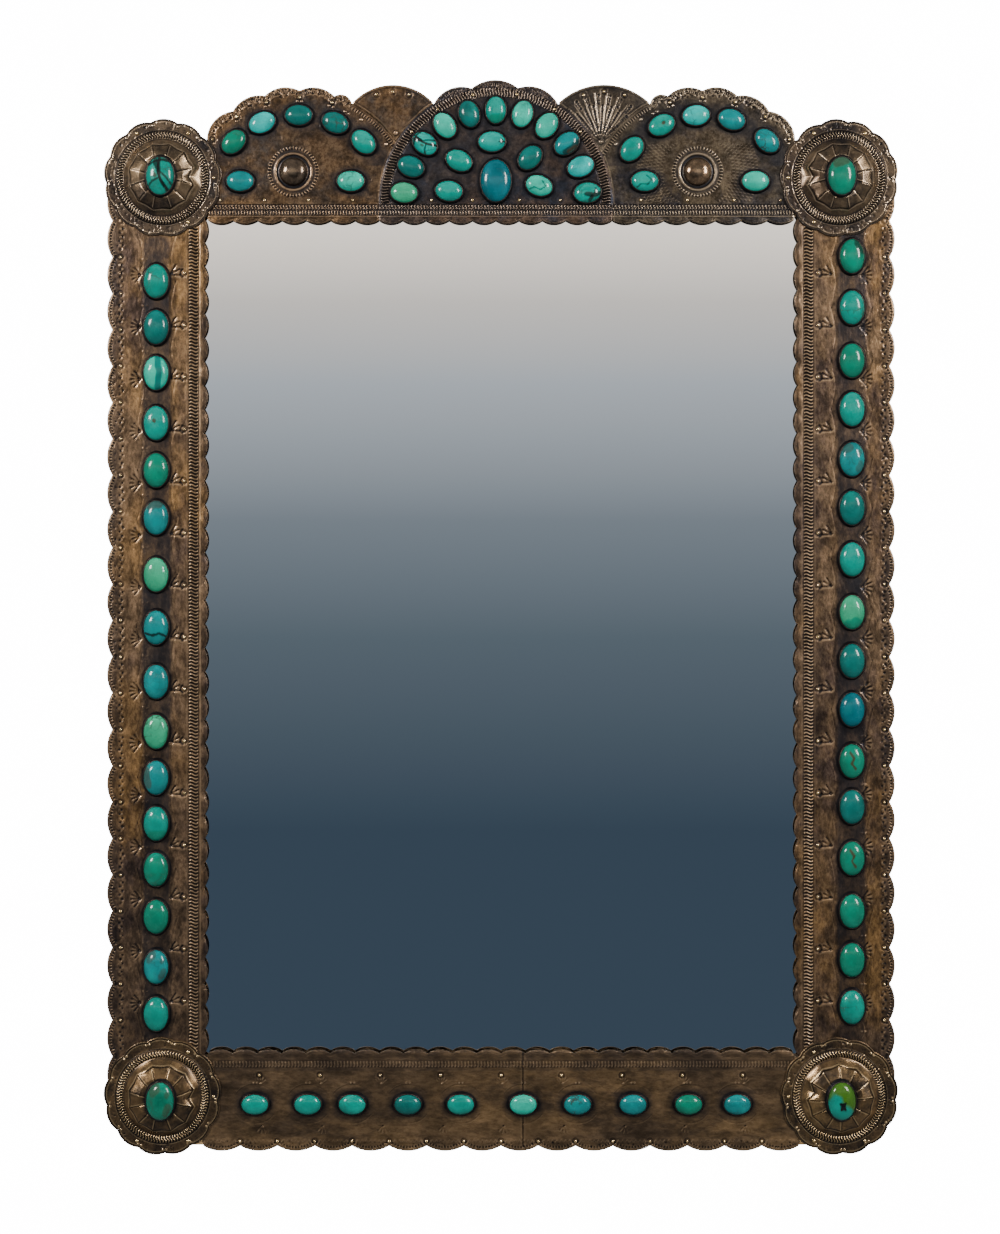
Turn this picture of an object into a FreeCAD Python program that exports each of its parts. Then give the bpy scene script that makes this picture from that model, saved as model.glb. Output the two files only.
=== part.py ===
import FreeCAD, Part
import math
import os

# Silver and turquoise wall mirror: a wooden frame dressed in stamped silver sheet.
# Millimetres. X runs to the viewer's right, Y from the viewer to the wall, Z up.
# Everything is drawn about the middle of the glass and shifted at the end, so that
# the origin lies on the back of the top rail, on the line that the two rings hang from.

# Overall layout, measured from the middle of the glass
CORNER_X = 243.5          # centres of the four corner conchos
CORNER_Z = 330.5
HANG_Z = 315.0            # height where the hooks carry the rings

# Wooden frame
WOOD_THICK = 15.0
WOOD_OUT_X = 279.0
WOOD_IN_X = 216.0
WOOD_IN_Z = 303.0
CORNER_R = WOOD_OUT_X - CORNER_X
WOOD_OUT_Z = CORNER_Z + CORNER_R
WOOD_NOTCH_Z = 351.5      # where the top conchos and the crest's side arches part
LAP_Y = -WOOD_THICK / 2

# Glass, card and board in the pocket behind the frame's lip
POCKET_DEEP = 11.3
POCKET_OVER = 8.0         # how far the pocket reaches under the wood
GLASS_THICK = 4.0
CARD_THICK = 1.0
BOARD_THICK = 6.0
GLASS_GAP = 1.0

# Silver sheet
SHEET = 1.0
FRONT_Y = -WOOD_THICK - SHEET
BUTT_GAP = 0.2            # hairline between neighbouring sheets
CUSP_OUT_X = 280.0        # the outer edge, at the cusps between scallops
CUSP_IN_X = 214.0
CUSP_IN_Z = 300.0
CUSP_OUT_Z = 366.5
OUTER_BULGE = 3.7
INNER_BULGE = 2.7
OUTER_CHORDS = 3          # straight stretches in each scallop
INNER_CHORDS = 2
SIDE_OUTER_SCALLOPS = 25
SIDE_OUTER_ROW_Z = (-328.2, 325.8)    # the rows' ends, under the conchos
SIDE_INNER_SCALLOPS = 37
SIDE_INNER_ROW_Z = (-318.6, 319.0)
END_X = 214.6             # ends of the top and bottom sheets, under the conchos
BOTTOM_OUTER_SCALLOPS = 16
BOTTOM_INNER_SCALLOPS = 24

# Crest: two side arches, a middle arch a little left of centre, a fan in each gap.
# Cusps are angles from upright round the arch's centre.
ARCH_X = 145.5
ARCH_Z = 309.5
ARCH_R = 84.0
ARCH_LOBE = 3.2
ARCH_CUSPS = (27.0, 17.7, 0.3, -17.1, -34.5, -51.9)
MIDDLE_X = -3.7
MIDDLE_Z = 312.8
MIDDLE_R = 84.2
MIDDLE_LOBE = 4.2
MIDDLE_CUSPS = (-32.0, -12.0, 11.0, 32.0)
FAN_DX = 74.3             # the fans' middles, from the middle arch's
FAN_TOP_Z = 397.6
CREST_SIDE_SCALLOPS = 7
CREST_MIDDLE_SCALLOPS = 10
WOOD_INSET = 2.5
LOWER_SEAM_CHORDS = 4    # straight stretches in the seams between the crest's sheets
UPPER_SEAM_CHORDS = 3
FAN_CHORDS = 6

# Conchos
CONCHO_LOBES = 12
CONCHO_CUSP_R = 39.0
CONCHO_LOBE = 2.4
CONCHO_SHEET = 1.0
ROPE_OUT_R = 33.4
ROPE_TOP_R = 30.8
ROPE_IN_R = 28.2
ROPE_HIGH = 2.0
COVE_HIGH = 0.8           # floor of the cove between the rope and the star
STAR_RAYS = 12
STAR_POINT_R = 23.6
STAR_NOTCH_R = 21.4
STAR_HIGH = 5.8
STAR_TURNS = {             # how far each star was set round from upright
    "concho_top_left": 14.0,
    "concho_top_right": 16.0,
    "concho_bottom_left": 14.0,
    "concho_bottom_right": -2.0,
}
DOME_HIGH = 9.0
DOME_TOP_R = 15.6
HOLLOW_FOOT_R = 24.0
HOLLOW_TOP_R = 13.5
HOLLOW_HIGH = 8.3

# Domed bosses in the side arches, from the arch's centre
BOSS_DX = -4.0
BOSS_DZ = 25.5
BOSS_R = 10.2
BOSS_HIGH = 6.0

# Turquoise cabochons: half width and half height at the foot, and their bezels
SIDE_STONE = (9.3, 12.8)
BOTTOM_STONE = (10.3, 7.7)
CREST_STONE = (7.7, 10.3)
MIDDLE_STONE = (11.4, 15.9)
CONCHO_STONE = (10.4, 14.2)
STONE_HIGH = 6.8
SMALL_STONE_HIGH = 5.8
SHOULDER_SHARE = 0.84     # of the foot's outline, where a dome turns over
SHOULDER_HIGH = 0.62      # of the dome's height
STONE_FACETS = 8
FINE_FACETS = 12
BEZEL_HIGH = 2.6
BEZEL_WALL = 0.9
BEZEL_LIP = 0.1
# heights of the side stones and places of the bottom ones, set by eye and so uneven
LEFT_STONE_X = -248.0
LEFT_STONES_Z = (256, 223, 190, 154, 120, 86, 45, 7, -32, -68, -101, -134, -167, -201, -237, -271)
RIGHT_STONE_X = 252.5
RIGHT_STONES_Z = (274, 237, 199, 164, 128, 93, 56, 18, -17, -52, -89, -122, -159, -197, -232, -266)
BOTTOM_STONE_Z = -336.0
BOTTOM_STONES_X = (-177, -139, -107, -67, -29, 16, 55, 95, 135, 170)
# the rows that follow the arches: radius, and angles from upright
ARCH_ROW_R = 66.0
LEFT_ARCH_ROW = (-45, -23.5, 0, 23.5, 45)
RIGHT_ARCH_ROW = (-51, -27, -4.5, 18, 44)
ARCH_FOOT_DX = (-42.0, 37.5)
ARCH_FOOT_DZ = 18.5
MIDDLE_ROW_R = 66.3
MIDDLE_ROW_STEP = 16.8
MIDDLE_ROW_COUNT = 11
MIDDLE_STONE_DZ = 15.5
# the five round the big stone: angle and radius from the arch's centre, then their lean
INNER_ROW = (
    (-76.5, 34.7, 97),
    (-41.5, 40.0, 117),
    (-3.7, 43.7, 90),
    (37.5, 40.4, 42),
    (69, 33.3, 108),
)

# Cut pins that nail the sheet to the wood
PIN_HALF = 1.3
PIN_LONG = 12.0
PIN_PROUD = 0.8
PIN_OUT_X = 275.5
PIN_OUT_Z = 362.0
PIN_IN_X = 228.2
SIDE_INNER_PINS = 15
SIDE_INNER_PIN_TOP = 262.0
BOTTOM_INNER_PINS = 9
BOTTOM_INNER_PIN_X = 174.0
INNER_PIN_Z = 314.5
CREST_PIN_INSET = 5.0
FAN_PIN_TURNS = (-20, 0, 20)
SIDE_ARCH_PIN_SHARES = (0.15, 0.4, 0.65, 0.9)
MIDDLE_ARCH_PIN_TURNS = (-50, -32, -12, 11, 32, 50)
MIDDLE_ARCH_PIN_SHARES = (-0.55, -0.2, 0.2, 0.55)
CONCHO_PIN_R = 36.8
CONCHO_PIN_TURNS = (30, 90, 150, 210)     # from upright, towards the glass

# Ring hangers on the backs of the stiles
HANGER_X = 247.0
STRAP_WIDE = 14.0
STRAP_THICK = 1.2
STRAP_LONG = 34.0
SCREW_DROP = 24.0         # the strap's screw, below the eye
EYE_Y = 3.2
EYE_R = 1.55
KNUCKLE_SIDES = 12
RING_R = 12.0
WIRE_R = 1.5
WIRE_SIDES = 6
BOW_STEPS = 10
EYE_Z = HANG_Z - (RING_R - WIRE_R)
HANGER_SCREW_R = 1.7

# Turn buttons that hold the backing board in
BUTTON_X = 236.0
BUTTON_Z = 165.0
BUTTON_REACH = 21.0
BUTTON_TAIL = 6.0
BUTTON_HALF = 5.0
BUTTON_CHAMFER = 3.0
BUTTON_THICK = 1.5
BUTTON_LIFT = 0.1
PIVOT_R = 1.5
PIVOT_GAP = 0.05

# Screws
HEAD_R = 3.2
HEAD_HIGH = 1.6
HEAD_SIDES = 6
SCREW_DEEP = 12.0

# Rubber bumpers at the bottom corners
BUMPER_X = 200.0
BUMPER_Z = -340.0
BUMPER_R = 6.0
BUMPER_HIGH = 6.0
BUMPER_SIDES = 12


def at(x, z, y=0.0):
    """A point given across and up, then in depth."""
    return FreeCAD.Vector(x, y, z)


def polar(cx, cz, radius, degrees, y=0.0):
    """A point on a circle, with the angle taken clockwise from upright."""
    turn = math.radians(degrees)
    return at(cx + radius * math.sin(turn), cz + radius * math.cos(turn), y)


def angle_of(point, cx, cz):
    """The angle from upright of a point seen from a centre."""
    return math.degrees(math.atan2(point.x - cx, point.z - cz))


def arc(start, middle, end):
    return Part.Arc(start, middle, end).toShape()


def line(start, end):
    return Part.makeLine(start, end)


def box(x0, x1, y0, y1, z0, z1):
    return Part.makeBox(x1 - x0, y1 - y0, z1 - z0, FreeCAD.Vector(x0, y0, z0))


def disc(x, z, radius, front, thick):
    """A round slab whose axis runs front to back."""
    return Part.makeCylinder(radius, thick, at(x, z, front), FreeCAD.Vector(0, 1, 0))


def sheet(edges, front=FRONT_Y, thick=SHEET):
    """A flat sheet with the outline given by edges at y = 0, its face at y = front."""
    flat = Part.Face(Part.Wire(edges))
    flat.translate(FreeCAD.Vector(0, front, 0))
    return flat.extrude(FreeCAD.Vector(0, thick, 0))


def mirrored(shape):
    """The same piece on the other side of the mirror."""
    return shape.mirror(FreeCAD.Vector(0, 0, 0), FreeCAD.Vector(1, 0, 0))


def facet(corners):
    return Part.Face(Part.makePolygon(list(corners) + [corners[0]]))


def closed_solid(facets):
    """A solid from facets that close round it, the right way out."""
    solid = Part.Solid(Part.Shell(facets))
    if solid.Volume < 0:
        solid.reverse()
    return solid.removeSplitter()


def bands(rings):
    """Triangles that join each ring of points to the next."""
    facets = []
    for low, high in zip(rings, rings[1:]):
        for i, start in enumerate(low):
            j = (i + 1) % len(low)
            facets.append(facet((start, low[j], high[j])))
            facets.append(facet((start, high[j], high[i])))
    return facets


def peak(ring, tip):
    """Triangles from a ring of points to one point."""
    return [facet((start, ring[(i + 1) % len(ring)], tip)) for i, start in enumerate(ring)]


def stack(rings):
    """A solid through rings of points, closed by flat facets at both ends."""
    return closed_solid([facet(rings[0])] + bands(rings) + [facet(rings[-1])])


def spire(rings, tip):
    """A solid through rings of points that ends in a point."""
    return closed_solid([facet(rings[0])] + bands(rings) + peak(rings[-1], tip))


def ring_of(radii, y):
    """Points evenly spaced round the Y axis, at the radii given in turn."""
    return [polar(0, 0, r, 360.0 * i / len(radii), y) for i, r in enumerate(radii)]


def even_ring(count, radius, y):
    return ring_of([radius] * count, y)


def chords(edge, count):
    """An arc as a few straight lines."""
    points = edge.discretize(Number=count + 1)
    return [line(a, b) for a, b in zip(points, points[1:])]


def scallops(start, end, count, bulge, parts):
    """A row of equal scallops from start to end that bulge to the left of the way."""
    along = (end - start) * (1.0 / count)
    out = FreeCAD.Vector(-along.z, 0, along.x).normalize() * bulge
    edges = []
    for i in range(count):
        first = start + along * i
        edges += chords(arc(first, first + along * 0.5 + out, first + along), parts)
    return edges


def lobes(cx, cz, radius, bulge, cusps):
    """Arcs that bulge outwards between cusps on a circle, the cusps in degrees."""
    edges = []
    for first, last in zip(cusps, cusps[1:]):
        tip = polar(cx, cz, radius + bulge, (first + last) / 2)
        start, end = polar(cx, cz, radius, first), polar(cx, cz, radius, last)
        edges += chords(arc(start, tip, end), OUTER_CHORDS)
    return edges


def seam(cx, cz, radius, start, end, count):
    """The short way round a circle in equal chords, the same for both sheets that meet there."""
    first, last = angle_of(start, cx, cz), angle_of(end, cx, cz)
    turns = [first + (last - first) * i / count for i in range(1, count)]
    points = [start] + [polar(cx, cz, radius, turn) for turn in turns] + [end]
    return [line(a, b) for a, b in zip(points, points[1:])]


# Wooden frame

def wood_silhouette():
    """The frame's whole outline, as a slab of the full thickness."""
    straight = box(-WOOD_OUT_X, WOOD_OUT_X, -WOOD_THICK, 0, -CORNER_Z, CORNER_Z)
    wide = box(-CORNER_X, CORNER_X, -WOOD_THICK, 0, -WOOD_OUT_Z, WOOD_NOTCH_Z)
    tall = box(-ARCH_X, ARCH_X, -WOOD_THICK, 0, 0, WOOD_OUT_Z)
    rounds = [
        (x, z, CORNER_R)
        for x in (-CORNER_X, CORNER_X)
        for z in (-CORNER_Z, CORNER_Z)
    ]
    for side in (-1, 1):
        x, z, radius = fan_circle(side)
        rounds.append((x, z, radius - WOOD_INSET))
        rounds.append((side * ARCH_X, ARCH_Z, ARCH_R - WOOD_INSET))
    rounds.append((MIDDLE_X, MIDDLE_Z, MIDDLE_R - WOOD_INSET))
    slabs = [disc(x, z, radius, -WOOD_THICK, WOOD_THICK) for x, z, radius in rounds]
    return straight.fuse([wide, tall] + slabs).removeSplitter()


def wooden_frame():
    """Two stiles and two rails, half-lapped at the corners: stiles behind, rails in front."""
    far = 2 * WOOD_OUT_X
    pocket_x, pocket_z = WOOD_IN_X + POCKET_OVER, WOOD_IN_Z + POCKET_OVER
    opening = box(-WOOD_IN_X, WOOD_IN_X, -far, far, -WOOD_IN_Z, WOOD_IN_Z)
    pocket = box(-pocket_x, pocket_x, -POCKET_DEEP, 0, -pocket_z, pocket_z)
    whole = wood_silhouette().cut([opening, pocket])
    between = box(-WOOD_IN_X, WOOD_IN_X, -far, far, -far, far)
    front_laps = [
        box(-far, far, -far, LAP_Y, WOOD_IN_Z, far),
        box(-far, far, -far, LAP_Y, -far, -WOOD_IN_Z),
    ]
    sides = whole.cut([between] + front_laps)
    left = sides.common(box(-far, 0, -far, far, -far, far))
    right = sides.common(box(0, far, -far, far, -far, far))
    ends = whole.cut([left, right])
    top = ends.common(box(-far, far, -far, far, 0, far))
    bottom = ends.common(box(-far, far, -far, far, -far, 0))
    return {"left_stile": left, "right_stile": right, "top_rail": top, "bottom_rail": bottom}


def glass_and_back():
    """The silvered glass, the card behind it and the board that fills the pocket."""
    x = WOOD_IN_X + POCKET_OVER - GLASS_GAP
    z = WOOD_IN_Z + POCKET_OVER - GLASS_GAP
    glass_back = -POCKET_DEEP + GLASS_THICK
    card_back = glass_back + CARD_THICK
    return {
        "mirror_glass": box(-x, x, -POCKET_DEEP, glass_back, -z, z),
        "packing_sheet": box(-x, x, glass_back, card_back, -z, z),
        "backing_board": box(-x, x, card_back, card_back + BOARD_THICK, -z, z),
    }


# Silver sheets

def side_sheet():
    """The left strip: wide scallops outside, small ones over the glass."""
    top_out, bottom_out = at(-CUSP_OUT_X, CORNER_Z), at(-CUSP_OUT_X, -CORNER_Z)
    top_in, bottom_in = at(-CUSP_IN_X, CORNER_Z), at(-CUSP_IN_X, -CORNER_Z)
    outer_foot, outer_head = [at(-CUSP_OUT_X, z) for z in SIDE_OUTER_ROW_Z]
    inner_foot, inner_head = [at(-CUSP_IN_X, z) for z in SIDE_INNER_ROW_Z]
    edges = [line(bottom_out, outer_foot)]
    edges += scallops(outer_foot, outer_head, SIDE_OUTER_SCALLOPS, OUTER_BULGE, OUTER_CHORDS)
    edges += [line(outer_head, top_out), line(top_out, top_in), line(top_in, inner_head)]
    edges += scallops(inner_head, inner_foot, SIDE_INNER_SCALLOPS, INNER_BULGE, INNER_CHORDS)
    edges += [line(inner_foot, bottom_in), line(bottom_in, bottom_out)]
    return sheet(edges)


def bottom_sheet():
    """The bottom strip, which steps in beside the side strips under the conchos."""
    step_x = CUSP_IN_X - INNER_BULGE - BUTT_GAP
    step_z = -CORNER_Z - BUTT_GAP
    right_out, left_out = at(END_X, -CUSP_OUT_Z), at(-END_X, -CUSP_OUT_Z)
    left_in, right_in = at(-step_x, -CUSP_IN_Z), at(step_x, -CUSP_IN_Z)
    edges = scallops(right_out, left_out, BOTTOM_OUTER_SCALLOPS, OUTER_BULGE, OUTER_CHORDS)
    edges += [
        line(left_out, at(-END_X, step_z)),
        line(at(-END_X, step_z), at(-step_x, step_z)),
        line(at(-step_x, step_z), left_in),
    ]
    edges += scallops(left_in, right_in, BOTTOM_INNER_SCALLOPS, INNER_BULGE, INNER_CHORDS)
    edges += [
        line(right_in, at(step_x, step_z)),
        line(at(step_x, step_z), at(END_X, step_z)),
        line(at(END_X, step_z), right_out),
    ]
    return sheet(edges)


def fan_ends(side):
    """Where a fan's top edge meets the side arch and the middle arch."""
    outer = polar(side * ARCH_X, ARCH_Z, ARCH_R, -side * ARCH_CUSPS[0])
    inner = polar(MIDDLE_X, MIDDLE_Z, MIDDLE_R, MIDDLE_CUSPS[0] if side < 0 else MIDDLE_CUSPS[-1])
    return outer, inner


def fan_circle(side):
    """Centre and radius of a fan's top edge, through its two ends and its top."""
    outer, inner = fan_ends(side)
    curve = Part.Arc(outer, at(MIDDLE_X + side * FAN_DX, FAN_TOP_Z), inner).toShape().Curve
    return curve.Center.x, curve.Center.z, curve.Radius


def arch_meeting(side):
    """The point low in the gap where the side arch and the middle arch cross."""
    dx, dz = side * ARCH_X - MIDDLE_X, ARCH_Z - MIDDLE_Z
    apart = math.hypot(dx, dz)
    along = (MIDDLE_R**2 - ARCH_R**2 + apart**2) / (2 * apart)
    up = math.sqrt(MIDDLE_R**2 - along**2)
    ux, uz = dx / apart, dz / apart
    return at(MIDDLE_X + ux * along - side * uz * up, MIDDLE_Z + uz * along + side * ux * up)


def lower_seam(side):
    """Where the middle arch and a side arch meet, from the spring line to their crossing."""
    spring = at(MIDDLE_X + side * MIDDLE_R, MIDDLE_Z)
    return seam(MIDDLE_X, MIDDLE_Z, MIDDLE_R, spring, arch_meeting(side), LOWER_SEAM_CHORDS)


def upper_seam(side):
    """Where the middle arch and a fan meet."""
    inner = fan_ends(side)[1]
    return seam(MIDDLE_X, MIDDLE_Z, MIDDLE_R, arch_meeting(side), inner, UPPER_SEAM_CHORDS)


def outer_seam(side):
    """Where a side arch and a fan meet."""
    outer = fan_ends(side)[0]
    return seam(side * ARCH_X, ARCH_Z, ARCH_R, arch_meeting(side), outer, UPPER_SEAM_CHORDS)


def middle_sheet():
    """The middle arch: three lobes on top, plain sides, small scallops over the glass."""
    left, right = MIDDLE_X - MIDDLE_R, MIDDLE_X + MIDDLE_R
    edges = lower_seam(-1) + upper_seam(-1)
    edges += lobes(MIDDLE_X, MIDDLE_Z, MIDDLE_R, MIDDLE_LOBE, MIDDLE_CUSPS)
    edges += upper_seam(1) + lower_seam(1)
    foot_left, foot_right = at(left, CUSP_IN_Z), at(right, CUSP_IN_Z)
    edges.append(line(at(right, MIDDLE_Z), foot_right))
    edges += scallops(foot_right, foot_left, CREST_MIDDLE_SCALLOPS, INNER_BULGE, INNER_CHORDS)
    edges.append(line(foot_left, at(left, MIDDLE_Z)))
    return sheet(Part.__sortEdges__(edges))


def fan_sheet(side):
    """The small fan in the gap between a side arch and the middle one."""
    outer, inner = fan_ends(side)
    top = chords(arc(outer, at(MIDDLE_X + side * FAN_DX, FAN_TOP_Z), inner), FAN_CHORDS)
    return sheet(Part.__sortEdges__(top + upper_seam(side) + outer_seam(side)))


def arch_sheet(side):
    """A side arch, its lobes towards the corner, cut away where the middle arch stands."""
    cx = side * ARCH_X
    cusps = [-side * turn for turn in ARCH_CUSPS]
    near_x = MIDDLE_X + side * MIDDLE_R
    far_x, step_x = side * END_X, side * (CUSP_IN_X - INNER_BULGE - BUTT_GAP)
    step_z = CORNER_Z + BUTT_GAP
    last = polar(cx, ARCH_Z, ARCH_R, cusps[-1])
    far_foot, near_foot = at(step_x, CUSP_IN_Z), at(near_x, CUSP_IN_Z)
    edges = lobes(cx, ARCH_Z, ARCH_R, ARCH_LOBE, cusps)
    edges += [
        line(last, at(far_x, step_z)),
        line(at(far_x, step_z), at(step_x, step_z)),
        line(at(step_x, step_z), far_foot),
    ]
    bulge = side * INNER_BULGE
    edges += scallops(far_foot, near_foot, CREST_SIDE_SCALLOPS, bulge, INNER_CHORDS)
    edges.append(line(near_foot, at(near_x, MIDDLE_Z)))
    edges += lower_seam(side) + outer_seam(side)
    return sheet(Part.__sortEdges__(edges))


def silver_sheets():
    left_side = side_sheet()
    return {
        "left_side_sheet": left_side,
        "right_side_sheet": mirrored(left_side),
        "bottom_sheet": bottom_sheet(),
        "crest_left_sheet": arch_sheet(-1),
        "crest_middle_sheet": middle_sheet(),
        "crest_right_sheet": arch_sheet(1),
        "crest_left_fan": fan_sheet(-1),
        "crest_right_fan": fan_sheet(1),
    }


# Conchos and bosses

def concho(star_turn):
    """A lobed silver button: flat rim, roped ring, cove, and a star that climbs to the stone."""
    foot = FRONT_Y - CONCHO_SHEET
    cusps = [i * 360.0 / CONCHO_LOBES for i in range(CONCHO_LOBES + 1)]
    rim = sheet(lobes(0, 0, CONCHO_CUSP_R, CONCHO_LOBE, cusps), foot, CONCHO_SHEET)
    steps = 2 * STAR_RAYS
    crown = stack(
        [
            even_ring(steps, ROPE_OUT_R, foot),
            even_ring(steps, ROPE_TOP_R, foot - ROPE_HIGH),
            even_ring(steps, ROPE_IN_R, foot - COVE_HIGH),
            ring_of([STAR_POINT_R, STAR_NOTCH_R] * STAR_RAYS, foot - STAR_HIGH),
            even_ring(steps, DOME_TOP_R, foot - DOME_HIGH),
        ]
    )
    crown.rotate(at(0, 0), FreeCAD.Vector(0, 1, 0), star_turn)
    hollow = stack(
        [
            even_ring(STAR_RAYS, HOLLOW_FOOT_R, FRONT_Y),
            even_ring(STAR_RAYS, HOLLOW_TOP_R, FRONT_Y - HOLLOW_HIGH),
        ]
    )
    return rim.fuse(crown).removeSplitter().cut(hollow)


def conchos():
    names = {
        "concho_top_left": (-1, 1),
        "concho_top_right": (1, 1),
        "concho_bottom_left": (-1, -1),
        "concho_bottom_right": (1, -1),
    }
    made = {}
    for name, (side, level) in names.items():
        piece = concho(STAR_TURNS[name])
        piece.translate(at(side * CORNER_X, level * CORNER_Z))
        made[name] = piece
    return made


def boss(side):
    """A plain domed button."""
    shoulder = FRONT_Y - SHOULDER_HIGH * BOSS_HIGH
    rings = [
        even_ring(FINE_FACETS, BOSS_R, FRONT_Y),
        even_ring(FINE_FACETS, SHOULDER_SHARE * BOSS_R, shoulder),
    ]
    dome = spire(rings, at(0, 0, FRONT_Y - BOSS_HIGH))
    dome.translate(at(side * ARCH_X + BOSS_DX, ARCH_Z + BOSS_DZ))
    return dome


# Stones

def oval(size, lean, y, facets, share=1.0, grow=0.0):
    """Points round an oval about the origin, leaning clockwise from upright."""
    tilt = math.radians(lean)
    points = []
    for i in range(facets):
        turn = 2 * math.pi * (i + 0.5) / facets
        across = (size[0] * share + grow) * math.cos(turn)
        up = (size[1] * share + grow) * math.sin(turn)
        x = across * math.cos(tilt) + up * math.sin(tilt)
        z = up * math.cos(tilt) - across * math.sin(tilt)
        points.append(at(x, z, y))
    return points


def setting(x, z, size, lean=0.0, foot=FRONT_Y, facets=STONE_FACETS):
    """A domed stone, and the bezel that is soldered to the sheet and rubbed over its edge."""
    high = SMALL_STONE_HIGH if min(size) < SIDE_STONE[0] else STONE_HIGH
    shoulder = SHOULDER_HIGH * high
    lip_share = 1 - (1 - SHOULDER_SHARE) * BEZEL_HIGH / shoulder
    base = oval(size, lean, foot, facets)
    rings = [base, oval(size, lean, foot - shoulder, facets, share=SHOULDER_SHARE)]
    stone = spire(rings, at(0, 0, foot - high))
    outer = oval(size, lean, foot, facets, grow=BEZEL_WALL)
    lip = oval(size, lean, foot - BEZEL_HIGH, facets, share=lip_share, grow=BEZEL_LIP)
    bezel = closed_solid(bands([outer, lip, base, outer]))
    for piece in (bezel, stone):
        piece.translate(at(x, z))
    return bezel, stone


def arch_stones(side, row):
    """Five stones lying along a side arch, and two at its foot."""
    made = []
    for turn in row:
        spot = polar(side * ARCH_X, ARCH_Z, ARCH_ROW_R, turn)
        made.append(setting(spot.x, spot.z, CREST_STONE, 90 + turn))
    for dx in ARCH_FOOT_DX:
        made.append(setting(side * ARCH_X + dx, ARCH_Z + ARCH_FOOT_DZ, CREST_STONE, 90))
    return made


def middle_stones():
    """Eleven stones pointing outwards, and five round the big one."""
    made = []
    first = -MIDDLE_ROW_STEP * (MIDDLE_ROW_COUNT - 1) / 2
    for i in range(MIDDLE_ROW_COUNT):
        turn = first + i * MIDDLE_ROW_STEP
        spot = polar(MIDDLE_X, MIDDLE_Z, MIDDLE_ROW_R, turn)
        made.append(setting(spot.x, spot.z, CREST_STONE, turn))
    for turn, radius, lean in INNER_ROW:
        spot = polar(MIDDLE_X, MIDDLE_Z, radius, turn)
        made.append(setting(spot.x, spot.z, CREST_STONE, lean))
    return made


def stones():
    """Every row of settings, as a node of bezels and a node of stones each."""
    concho_foot = FRONT_Y - CONCHO_SHEET - DOME_HIGH
    middle_z = MIDDLE_Z + MIDDLE_STONE_DZ
    rows = {
        "left_side": [setting(LEFT_STONE_X, z, SIDE_STONE) for z in LEFT_STONES_Z],
        "right_side": [setting(RIGHT_STONE_X, z, SIDE_STONE) for z in RIGHT_STONES_Z],
        "bottom": [setting(x, BOTTOM_STONE_Z, BOTTOM_STONE) for x in BOTTOM_STONES_X],
        "crest_left": arch_stones(-1, LEFT_ARCH_ROW),
        "crest_right": arch_stones(1, RIGHT_ARCH_ROW),
        "crest_middle": middle_stones(),
        "crest_centre": [setting(MIDDLE_X, middle_z, MIDDLE_STONE, facets=FINE_FACETS)],
        "concho": [
            setting(x, z, CONCHO_STONE, foot=concho_foot, facets=FINE_FACETS)
            for x in (-CORNER_X, CORNER_X)
            for z in (CORNER_Z, -CORNER_Z)
        ],
    }
    made = {}
    for name, row in rows.items():
        many = "" if len(row) == 1 else "s"
        made[name + "_bezel" + many] = Part.makeCompound([bezel for bezel, stone in row])
        made[name + "_stone" + many] = Part.makeCompound([stone for bezel, stone in row])
    return made


# Fasteners and hanging gear

def pin(x, z, front=FRONT_Y):
    """A square cut pin that tapers to a point, its head just proud of the sheet."""
    head_y = front - PIN_PROUD
    head = [polar(x, z, PIN_HALF, turn, head_y) for turn in (0, 90, 180, 270)]
    return spire([head], at(x, z, head_y + PIN_LONG))


def side_pins(side):
    """One pin at each outer cusp that the conchos leave free, and a row inside the stones."""
    foot, head = SIDE_OUTER_ROW_Z
    step = (head - foot) / SIDE_OUTER_SCALLOPS
    made = []
    for i in range(2, SIDE_OUTER_SCALLOPS - 1):
        made.append(pin(side * PIN_OUT_X, foot + i * step))
    inner_step = 2 * SIDE_INNER_PIN_TOP / (SIDE_INNER_PINS - 1)
    for i in range(SIDE_INNER_PINS):
        made.append(pin(side * PIN_IN_X, SIDE_INNER_PIN_TOP - i * inner_step))
    return Part.makeCompound(made)


def bottom_pins():
    step = 2 * END_X / BOTTOM_OUTER_SCALLOPS
    made = [pin(-END_X + i * step, -PIN_OUT_Z) for i in range(1, BOTTOM_OUTER_SCALLOPS)]
    inner_step = 2 * BOTTOM_INNER_PIN_X / (BOTTOM_INNER_PINS - 1)
    for i in range(BOTTOM_INNER_PINS):
        made.append(pin(-BOTTOM_INNER_PIN_X + i * inner_step, -INNER_PIN_Z))
    return Part.makeCompound(made)


def crest_pins():
    """Pins at the lobes' cusps, along the fans' tops and over the glass."""
    made = []
    for side in (-1, 1):
        for turn in ARCH_CUSPS[1:]:
            spot = polar(side * ARCH_X, ARCH_Z, ARCH_R - CREST_PIN_INSET, -side * turn)
            made.append(pin(spot.x, spot.z))
        x, z, radius = fan_circle(side)
        for turn in FAN_PIN_TURNS:
            spot = polar(x, z, radius - CREST_PIN_INSET, turn)
            made.append(pin(spot.x, spot.z))
        start, end = MIDDLE_X + side * MIDDLE_R, side * END_X
        for share in SIDE_ARCH_PIN_SHARES:
            made.append(pin(start + share * (end - start), INNER_PIN_Z))
    for turn in MIDDLE_ARCH_PIN_TURNS:
        spot = polar(MIDDLE_X, MIDDLE_Z, MIDDLE_R - CREST_PIN_INSET, turn)
        made.append(pin(spot.x, spot.z))
    for share in MIDDLE_ARCH_PIN_SHARES:
        made.append(pin(MIDDLE_X + share * MIDDLE_R, INNER_PIN_Z))
    return Part.makeCompound(made)


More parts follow.
